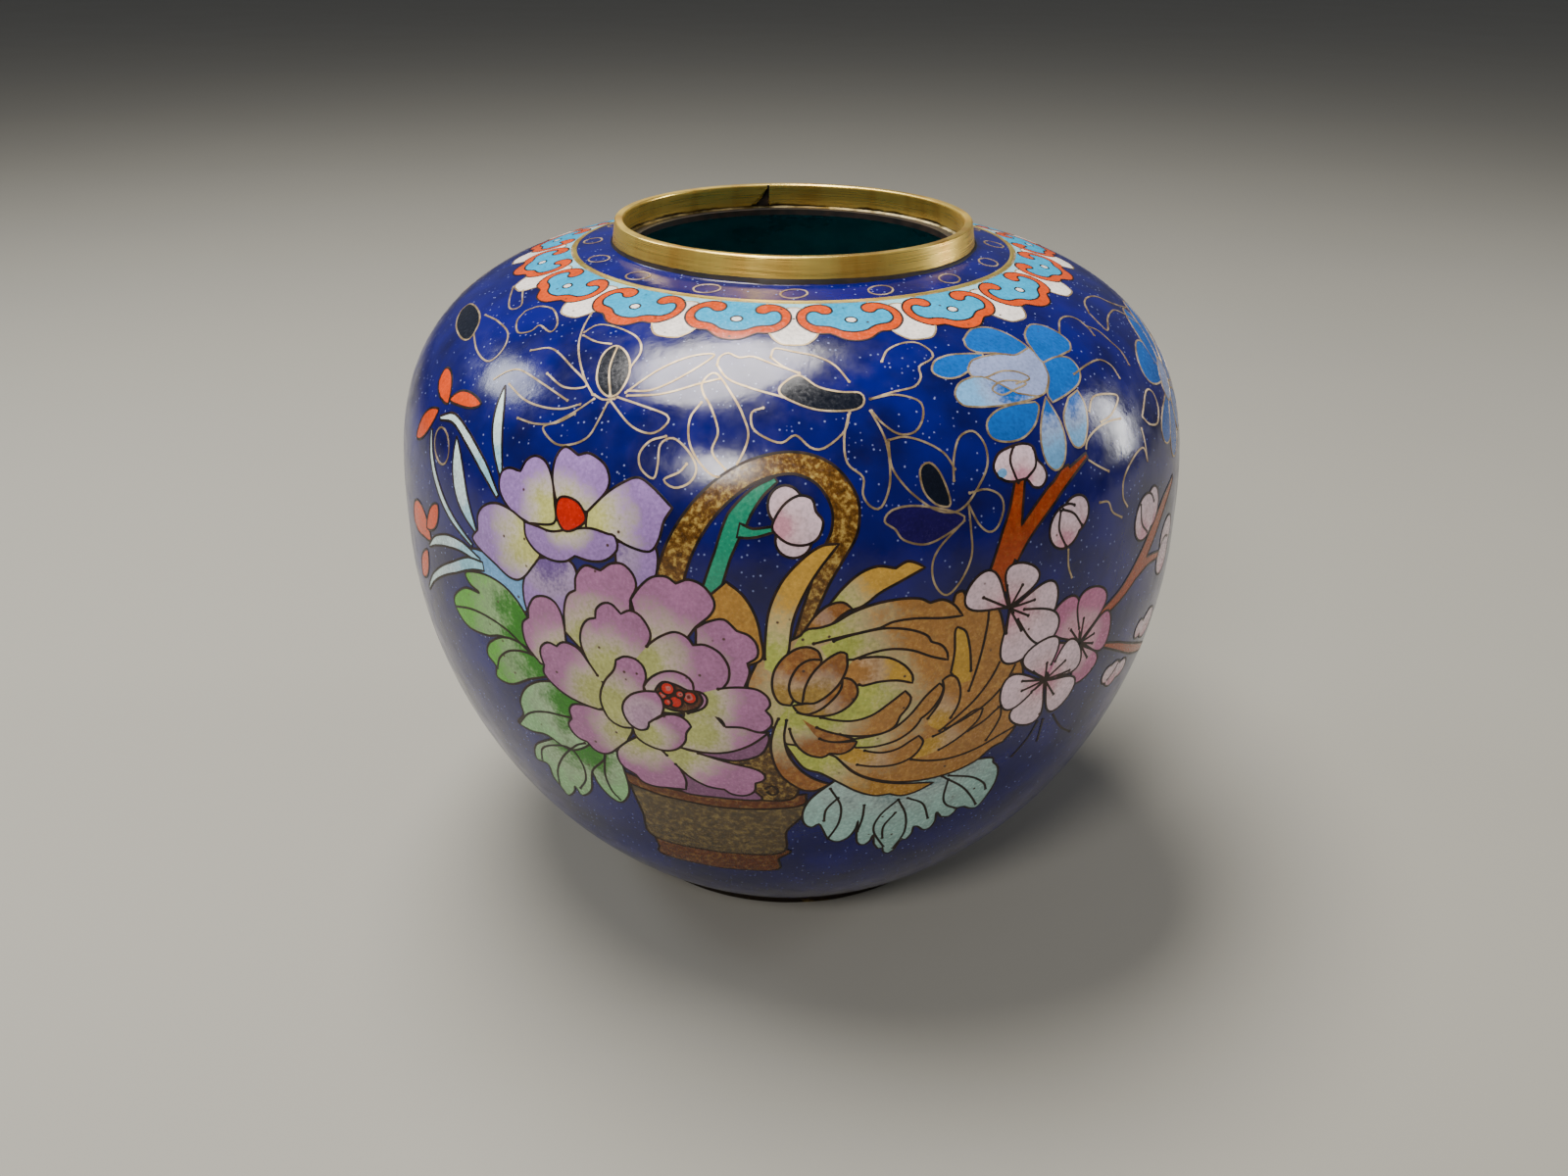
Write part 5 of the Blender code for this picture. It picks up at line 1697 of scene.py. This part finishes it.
def rim_section():
    """The brass strip's closed section, leaning in a little and rounded at the lip."""
    lip = RIM_TOP - LIP_ROUND
    middle = RIM_RADIUS - RIM_LEAN - RIM_WALL / 2
    reach = RIM_WALL / 2 - LIP_ROUND
    section = [(RIM_RADIUS, RIM_BOTTOM)]
    for share in np.arange(RIM_OUTER_STEPS) / RIM_OUTER_STEPS:
        section.append((RIM_RADIUS - RIM_LEAN * share, NECK_HEIGHT + (lip - NECK_HEIGHT) * share))
    section += rounded(middle + reach, lip, LIP_ROUND, 0, 1) + rounded(middle - reach, lip, LIP_ROUND, 1, 2)
    for share in np.linspace(0, 1, RIM_INNER_STEPS + 1)[1:]:
        section.append((RIM_RADIUS - RIM_WALL - RIM_LEAN * (1 - share), lip - (lip - RIM_BOTTOM) * share))
    return section


# Seed of the ragged edges of the solder and the dirt.
WANDER_SEED = 7

# How far below the lip the seam's dirt starts, how wide it is there to its left and its right, and how much
# of the hollow's width it fills at the bottom.
SOIL_TOP = 0.2 * MM
SOIL_LEFT = 0.35 * MM
SOIL_RIGHT = 0.2 * MM
SOIL_SPREAD = 0.8

# The rim's inner faces lie deeper than this share of its wall and look up less than this.
INNER_SHARE = 0.8
INNER_TILT = 0.7


def soil_seam(made):
    """Blackens the hollow at the rim's seam, and a thin line above it."""
    for face in made.data.polygons:
        across, along, height = face.center
        radius = math.hypot(across, along)
        aside = radius * math.sin(math.atan2(along, across) - SEAM_ANGLE)
        behind = math.cos(math.atan2(along, across) - SEAM_ANGLE) > 0
        drop = (RIM_TOP - SOIL_TOP - height) / (RIM_TOP - RIM_BOTTOM)
        deep = radius < RIM_RADIUS - RIM_WALL * INNER_SHARE + SEAM_DEPTH
        inner_face = deep and face.normal.z < INNER_TILT
        right = SOIL_RIGHT + SEAM_WIDTH * SOIL_SPREAD * max(drop, 0) ** 2
        if behind and inner_face and drop > 0 and -SOIL_LEFT < aside < right:
            face.material_index = 1


def ragged_ring(name, section, finish):
    """A closed ring round the rim's joint. section gives its corners from two wandering shares of 0 to 1."""
    wander = np.cumsum(np.random.default_rng(WANDER_SEED).normal(0, 1, (ROUND, 2)), axis=0)
    wander -= np.linspace(wander[0], wander[-1], ROUND)
    wander = 0.5 + 0.5 * wander / abs(wander).max(axis=0)
    spots, faces = [], []
    for number, (wide, tall) in enumerate(wander):
        across, along = math.cos(2 * math.pi * number / ROUND), math.sin(2 * math.pi * number / ROUND)
        corners = section(wide, tall)
        spots += [(radius * across, radius * along, height) for radius, height in corners]
        count = len(corners)
        here, ahead = count * number, count * ((number + 1) % ROUND)
        for side in range(count):
            following = (side + 1) % count
            faces.append((here + side, ahead + side, ahead + following, here + following))
    declare(finish_mesh(name, spots, faces, [material(finish)]))


def residue_section(wide, tall):
    """The black residue outside the rim's joint."""
    face = RIM_RADIUS + 0.01 * MM
    out = RIM_RADIUS + (0.4 + 0.9 * wide**2) * MM
    rise = (0.12 + 0.8 * tall**2) * MM
    return (
        (face, NECK_HEIGHT - 0.3 * MM),
        (out, NECK_HEIGHT - 0.5 * MM),
        (out - 0.3 * MM, NECK_HEIGHT + rise * 0.4),
        (face, NECK_HEIGHT + rise),
    )


def solder_section(wide, tall):
    """The pale solder inside the rim's joint."""
    face = RIM_RADIUS - RIM_WALL + 0.1 * MM
    ledge = RIM_FLOOR - 0.05 * MM
    return (
        (face, ledge),
        (face, ledge + (0.35 + 0.4 * wide) * MM),
        (face - 0.35 * MM, ledge + (0.2 + 0.25 * wide) * MM),
        (face - (0.5 + 0.5 * tall) * MM, ledge),
    )


def build_rim():
    """The brass strip round the mouth with its seam at the back, and the dirt and solder along its joint."""
    # The steps are finer round the hollow, which lies nearly all on one side of the seam's angle.
    reach = 1.5 * SEAM_WIDTH / RIM_RADIUS
    start, stop = SEAM_ANGLE - reach / 3, SEAM_ANGLE + reach
    fine = np.linspace(start, stop, ROUND // 4, endpoint=False)
    rest = np.linspace(stop, start + 2 * np.pi, ROUND, endpoint=False)
    section = rim_section()
    kinds, angles = [0] * len(section), np.concatenate((fine, rest))
    finishes = ["brushed_rim_brass", "solder_residue_and_shade"]
    made = turned("mouth_rim_brass", section, finishes, kinds, angles, seam_hollow)
    soil_seam(made)
    declare(made, "mouth_rim")
    ragged_ring("rim_solder_residue", residue_section, "solder_residue_and_shade")
    ragged_ring("rim_solder_line", solder_section, "solder_line")


def build_foot():
    """The brass ring under the jar, wider at the top, with a worn lower edge."""
    outer, inner = FOOT_TOP_RADIUS - FOOT_FLARE, RECESS_RADIUS
    section = rounded(outer - FOOT_EDGE, FOOT_EDGE, FOOT_EDGE, 3, 4, steps=3)
    section += [(FOOT_TOP_RADIUS, FOOT_HEIGHT), (inner, FOOT_HEIGHT)]
    section += rounded(inner + FOOT_EDGE, FOOT_EDGE, FOOT_EDGE, 2, 3, steps=3)
    made = turned("foot_ring_brass", section, ["brushed_foot_brass"], [0] * len(section))
    declare(made, "foot_ring")


# Heights of the collar's parts up the wall, in millimetres: the brass line, the top of the cloud heads, the
# middles of the ovals, the two ends of a white petal and the foot of the pale corner above it.
SHOULDER_LINE = 80.8
COLLAR_TOP = 80.4
OVAL_UP = 84.7
PETAL_LOW = 66
PETAL_HIGH = 78.6
CORNER_LOW = 77.4

# How far a pale corner reaches under its cloud head, in millimetres.
CORNER_REACH = 7

# No wire is laid within this many millimetres of the line between two repeats.
BORDER_REACH = 0.05


def collar_border(up, count):
    """Half the width of one repeat of the collar at a height up the wall."""
    return math.pi * float(np.interp(up, WALL_UP, OUTSIDE[:, 0])) / MM / count


def white_petal(side, count):
    """Half a rounded petal, whose middle line is the border between two cloud heads."""
    half = [(2.4, 66.4), (4.2, 68.6), (4.6, 71.2), (3.4, 75), (1.4, 78.2)]
    spots = [(side * (collar_border(up, count) - inward), up) for inward, up in half]
    foot = side * collar_border(PETAL_LOW, count), PETAL_LOW
    head = side * collar_border(PETAL_HIGH, count), PETAL_HIGH
    middle = [(side * collar_border(up, count), up) for up in (PETAL_HIGH, 74, 70)]
    return np.vstack((smooth([foot, *spots, head])[:-1], middle))


def collar_picture(count):
    """One repeat of the neck pattern: a cloud head, half a white petal on either side of it, and an oval."""
    picture = Picture()
    for side in (-1, 1):
        reach = CORNER_REACH * side
        top, low = side * collar_border(COLLAR_TOP, count), side * collar_border(CORNER_LOW, count)
        corner = [(top, COLLAR_TOP), (low, CORNER_LOW), (low - reach, CORNER_LOW), (top - reach, COLLAR_TOP)]
        picture.cell("corners", corner, ("ice_blue", "ice_blue"), (top, COLLAR_TOP), (low, 77))
        picture.cell("petals", white_petal(side, count), ("white", "white"), (low, 80), (low, 66))
    outer = [(0, 67), (2.2, 67.4), (3.6, 68.4), (4.9, 69.4), (6.7, 69.4), (8.5, 70.2), (9.9, 72.1)]
    outer += [(10.2, 74.2), (9.7, 76.3), (8.6, 77.9), (7, 79.2), (5.2, 79.7), (3.6, 79.2), (2.9, 78),
              (3.1, 76.7), (4, 76)]
    inner = [(5.1, 76.1), (5.9, 76.9), (7, 77), (8, 75.9), (8.4, 74.1), (8, 72.9), (7, 72), (5.6, 71.8)]
    inner += [(4.3, 71.5), (3.2, 70.8), (2.2, 70.1), (0, 69.7)]
    band = outer + inner
    band += [(-across, up) for across, up in band[-2:0:-1]]
    low = [(0, 68.4), (4.6, 70.4), (8.2, 71), (9.3, 74.2), (8.4, 76.9), (6.4, 78.4), (4.4, 78)]
    low = [(-across, up) for across, up in low[:0:-1]] + low
    right, left = (4.6, COLLAR_TOP), (-4.6, COLLAR_TOP)
    heart = edge(low, [low[-1], right], [right, left], [left])
    picture.cell("hearts", heart, ("turquoise", "turquoise"), (0, 70), (0, COLLAR_TOP))
    picture.cell("heads", smooth(band, True), ("coral", "coral"), (0, 66), (0, COLLAR_TOP))
    picture.cell("pearls", disc((0, 73.7), 1.15, 1.0), ("white", "white"), (0, 73), (0, 75))
    picture.wire("gold", disc((collar_border(OVAL_UP, count), OVAL_UP), 2.6, 2.1), True)
    return picture


def shoulder_line():
    """The brass line all round the shoulder, above the cloud heads."""
    radius = np.interp(SHOULDER_LINE, WALL_UP, OUTSIDE[:, 0]) / MM
    turns = np.linspace(-math.pi, math.pi, ROUND + 1)
    line = np.stack((turns * radius, np.full(ROUND + 1, SHOULDER_LINE)), -1)
    width = bpy.context.scene.jar_sizes.shoulder_wire
    closed = [(line, (False, False))]
    declare(wire_piece("shoulder_wire", closed, width, 0.0, 0.0, material("shoulder_brass")))


def build_collar():
    """The border round the neck: one repeat, turned round the axis by geometry nodes."""
    sizes = bpy.context.scene.jar_sizes
    count = sizes.collar_repeats
    picture = collar_picture(count)
    cells = picture.cells
    cut = partition(cells)
    flat, faces, owners = cut
    turn = math.pi / count
    glass = material("picture_enamel")
    tree = turning_tree()
    for piece, numbers in pieces_of(cells):
        made = enamel_piece(f"collar_{piece}", cells, numbers, cut, turn, glass)
        declare(run_tree(made, tree, glass, Count=count))
    found = []
    for pair, owner in borders(flat, faces, owners, cells):
        middle = flat[list(pair)].mean(axis=0)
        if abs(abs(middle[0]) - collar_border(middle[1], count)) > BORDER_REACH:
            found.append((pair, cells[owner]["piece"] in ("heads", "pearls")))
    for kind, finish in (("gold", "gilt_wire"), ("dark", "dark_copper_wire")):
        pairs = [pair for pair, dark in found if dark == (kind == "dark")]
        lines = visible_wires(picture, kind, flat, pairs)
        made = wire_piece(f"collar_{kind}_wires", lines, sizes.scroll_wire, 0.0, turn, material(finish))
        declare(run_tree(made, tree, material(finish), Count=count))
    shoulder_line()


# Camera of the photo, fitted to the ellipses of the rim, the shoulder line and the foot.
CAMERA_PLACE = (-1.4 * MM, -312.4 * MM, 217.5 * MM)
CAMERA_PITCH = math.radians(26.35)
CAMERA_ROLL = math.radians(0.51)
CAMERA_LENS = 32.18
SENSOR_WIDTH = 36.0

# Soft lights that face the jar: name, place in metres, size in metres, power in watts and sRGB colour.
LIGHTS = (
    ("overhead_softbox", (-0.2, 0.12, 1.0), (0.72, 0.42), 18.0, "fffaf2"),
    ("right_strip", (0.95, 0.24, 0.34), (0.16, 0.5), 3.0, "ffffff"),
    ("left_softbox", (-0.78, 0.26, 0.62), (0.34, 0.24), 2.4, "f4faff"),
    ("front_fill", (-0.5, -1.2, 1.1), (0.44, 0.44), 15.0, "fffaf4"),
)
JAR_MIDDLE = (0.0, 0.0, 0.08)
FLOOR_HALF = 6.0
SKY_GREY = "ced1d7"
SKY_STRENGTH = 0.2


def area_light(name, where, size, power, code):
    """A soft round light that faces the jar."""
    data = bpy.data.lights.new(name, "AREA")
    data.shape = "ELLIPSE"
    data.size, data.size_y = size
    data.energy = power
    data.color = linear(code)[:3]
    made = link(name, data)
    made.location = where
    made.rotation_euler = (Vector(JAR_MIDDLE) - Vector(where)).to_track_quat("-Z", "Y").to_euler()


def photo_camera():
    """The camera at the photo's view."""
    data = bpy.data.cameras.new("photo_camera")
    data.lens, data.sensor_width = CAMERA_LENS, SENSOR_WIDTH
    camera = link("photo_camera", data)
    camera.location = CAMERA_PLACE
    look = Vector((0, math.cos(CAMERA_PITCH), -math.sin(CAMERA_PITCH))).to_track_quat("-Z", "Y")
    camera.rotation_euler = (look @ Quaternion((0, 0, 1), CAMERA_ROLL)).to_euler()
    bpy.context.scene.camera = camera


def build_stage():
    """Pale floor, soft lights, dim surroundings and the camera."""
    corners = [(-FLOOR_HALF, -FLOOR_HALF, 0), (FLOOR_HALF, -FLOOR_HALF, 0)]
    corners += [(FLOOR_HALF, FLOOR_HALF, 0), (-FLOOR_HALF, FLOOR_HALF, 0)]
    finish_mesh("floor", corners, [(0, 1, 2, 3)], [material("pale_floor")])
    for light in LIGHTS:
        area_light(*light)
    world = bpy.data.worlds.new("soft_studio")
    bpy.context.scene.world = world
    world.use_nodes = True
    sky = world.node_tree.nodes["Background"]
    sky.inputs["Color"].default_value = linear(SKY_GREY)
    sky.inputs["Strength"].default_value = SKY_STRENGTH
    photo_camera()


class JAR_OT_wall(bpy.types.Operator):
    """Build the hollow enamelled copper wall"""

    bl_idname = "jar.wall"
    bl_label = "Enamelled Wall"

    def execute(self, context):
        build_wall()
        return {"FINISHED"}


class JAR_OT_rim(bpy.types.Operator):
    """Build the brass rim round the mouth, with the solder along its joint"""

    bl_idname = "jar.rim"
    bl_label = "Mouth Rim"

    def execute(self, context):
        build_rim()
        return {"FINISHED"}


class JAR_OT_foot(bpy.types.Operator):
    """Build the brass ring under the foot"""

    bl_idname = "jar.foot"
    bl_label = "Foot Ring"

    def execute(self, context):
        build_foot()
        return {"FINISHED"}


class JAR_OT_collar(bpy.types.Operator):
    """Build the border of cloud heads, petals and ovals round the neck"""

    bl_idname = "jar.collar"
    bl_label = "Collar"

    def execute(self, context):
        build_collar()
        return {"FINISHED"}


class JAR_OT_front(bpy.types.Operator):
    """Build the flower basket and the scrolls on the front"""

    bl_idname = "jar.front"
    bl_label = "Front Picture"

    def execute(self, context):
        lay_picture("front", front_picture())
        return {"FINISHED"}


class JAR_OT_back(bpy.types.Operator):
    """Build the plainer sprays on the back"""

    bl_idname = "jar.back"
    bl_label = "Back Sprays"

    def execute(self, context):
        lay_picture("back", back_picture(), math.pi)
        return {"FINISHED"}


class JAR_OT_stage(bpy.types.Operator):
    """Build the floor, the lights and the camera"""

    bl_idname = "jar.stage"
    bl_label = "Stage"

    def execute(self, context):
        build_stage()
        return {"FINISHED"}


OPERATORS = (JAR_OT_wall, JAR_OT_rim, JAR_OT_foot, JAR_OT_collar, JAR_OT_front, JAR_OT_back, JAR_OT_stage)


class JAR_PT_build(bpy.types.Panel):
    """Sizes, colours and building steps of the jar"""

    bl_idname = "JAR_PT_build"
    bl_label = "Cloisonne Jar"
    bl_space_type = "VIEW_3D"
    bl_region_type = "UI"
    bl_category = "Jar"

    def draw(self, context):
        for settings in (context.scene.jar_sizes, context.scene.jar_colours):
            box = self.layout.box()
            for name in type(settings).__annotations__:
                box.prop(settings, name)
        for operator in OPERATORS:
            self.layout.operator(operator.bl_idname)


CLASSES = (JarSizes, JarColours, *OPERATORS, JAR_PT_build)


def register():
    """Registers the classes, and puts the sizes and colours on the scene."""
    for made in CLASSES:
        bpy.utils.register_class(made)
    bpy.types.Scene.jar_sizes = bpy.props.PointerProperty(type=JarSizes)
    bpy.types.Scene.jar_colours = bpy.props.PointerProperty(type=JarColours)


def unregister():
    """Takes away what register added."""
    del bpy.types.Scene.jar_colours
    del bpy.types.Scene.jar_sizes
    for made in reversed(CLASSES):
        bpy.utils.unregister_class(made)


def main():
    """Builds the jar and its stage."""
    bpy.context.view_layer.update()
    register()
    bpy.ops.jar.wall()
    bpy.ops.jar.rim()
    bpy.ops.jar.foot()
    bpy.ops.jar.collar()
    bpy.ops.jar.front()
    bpy.ops.jar.back()
    bpy.ops.jar.stage()


if __name__ == "__main__":
    main()
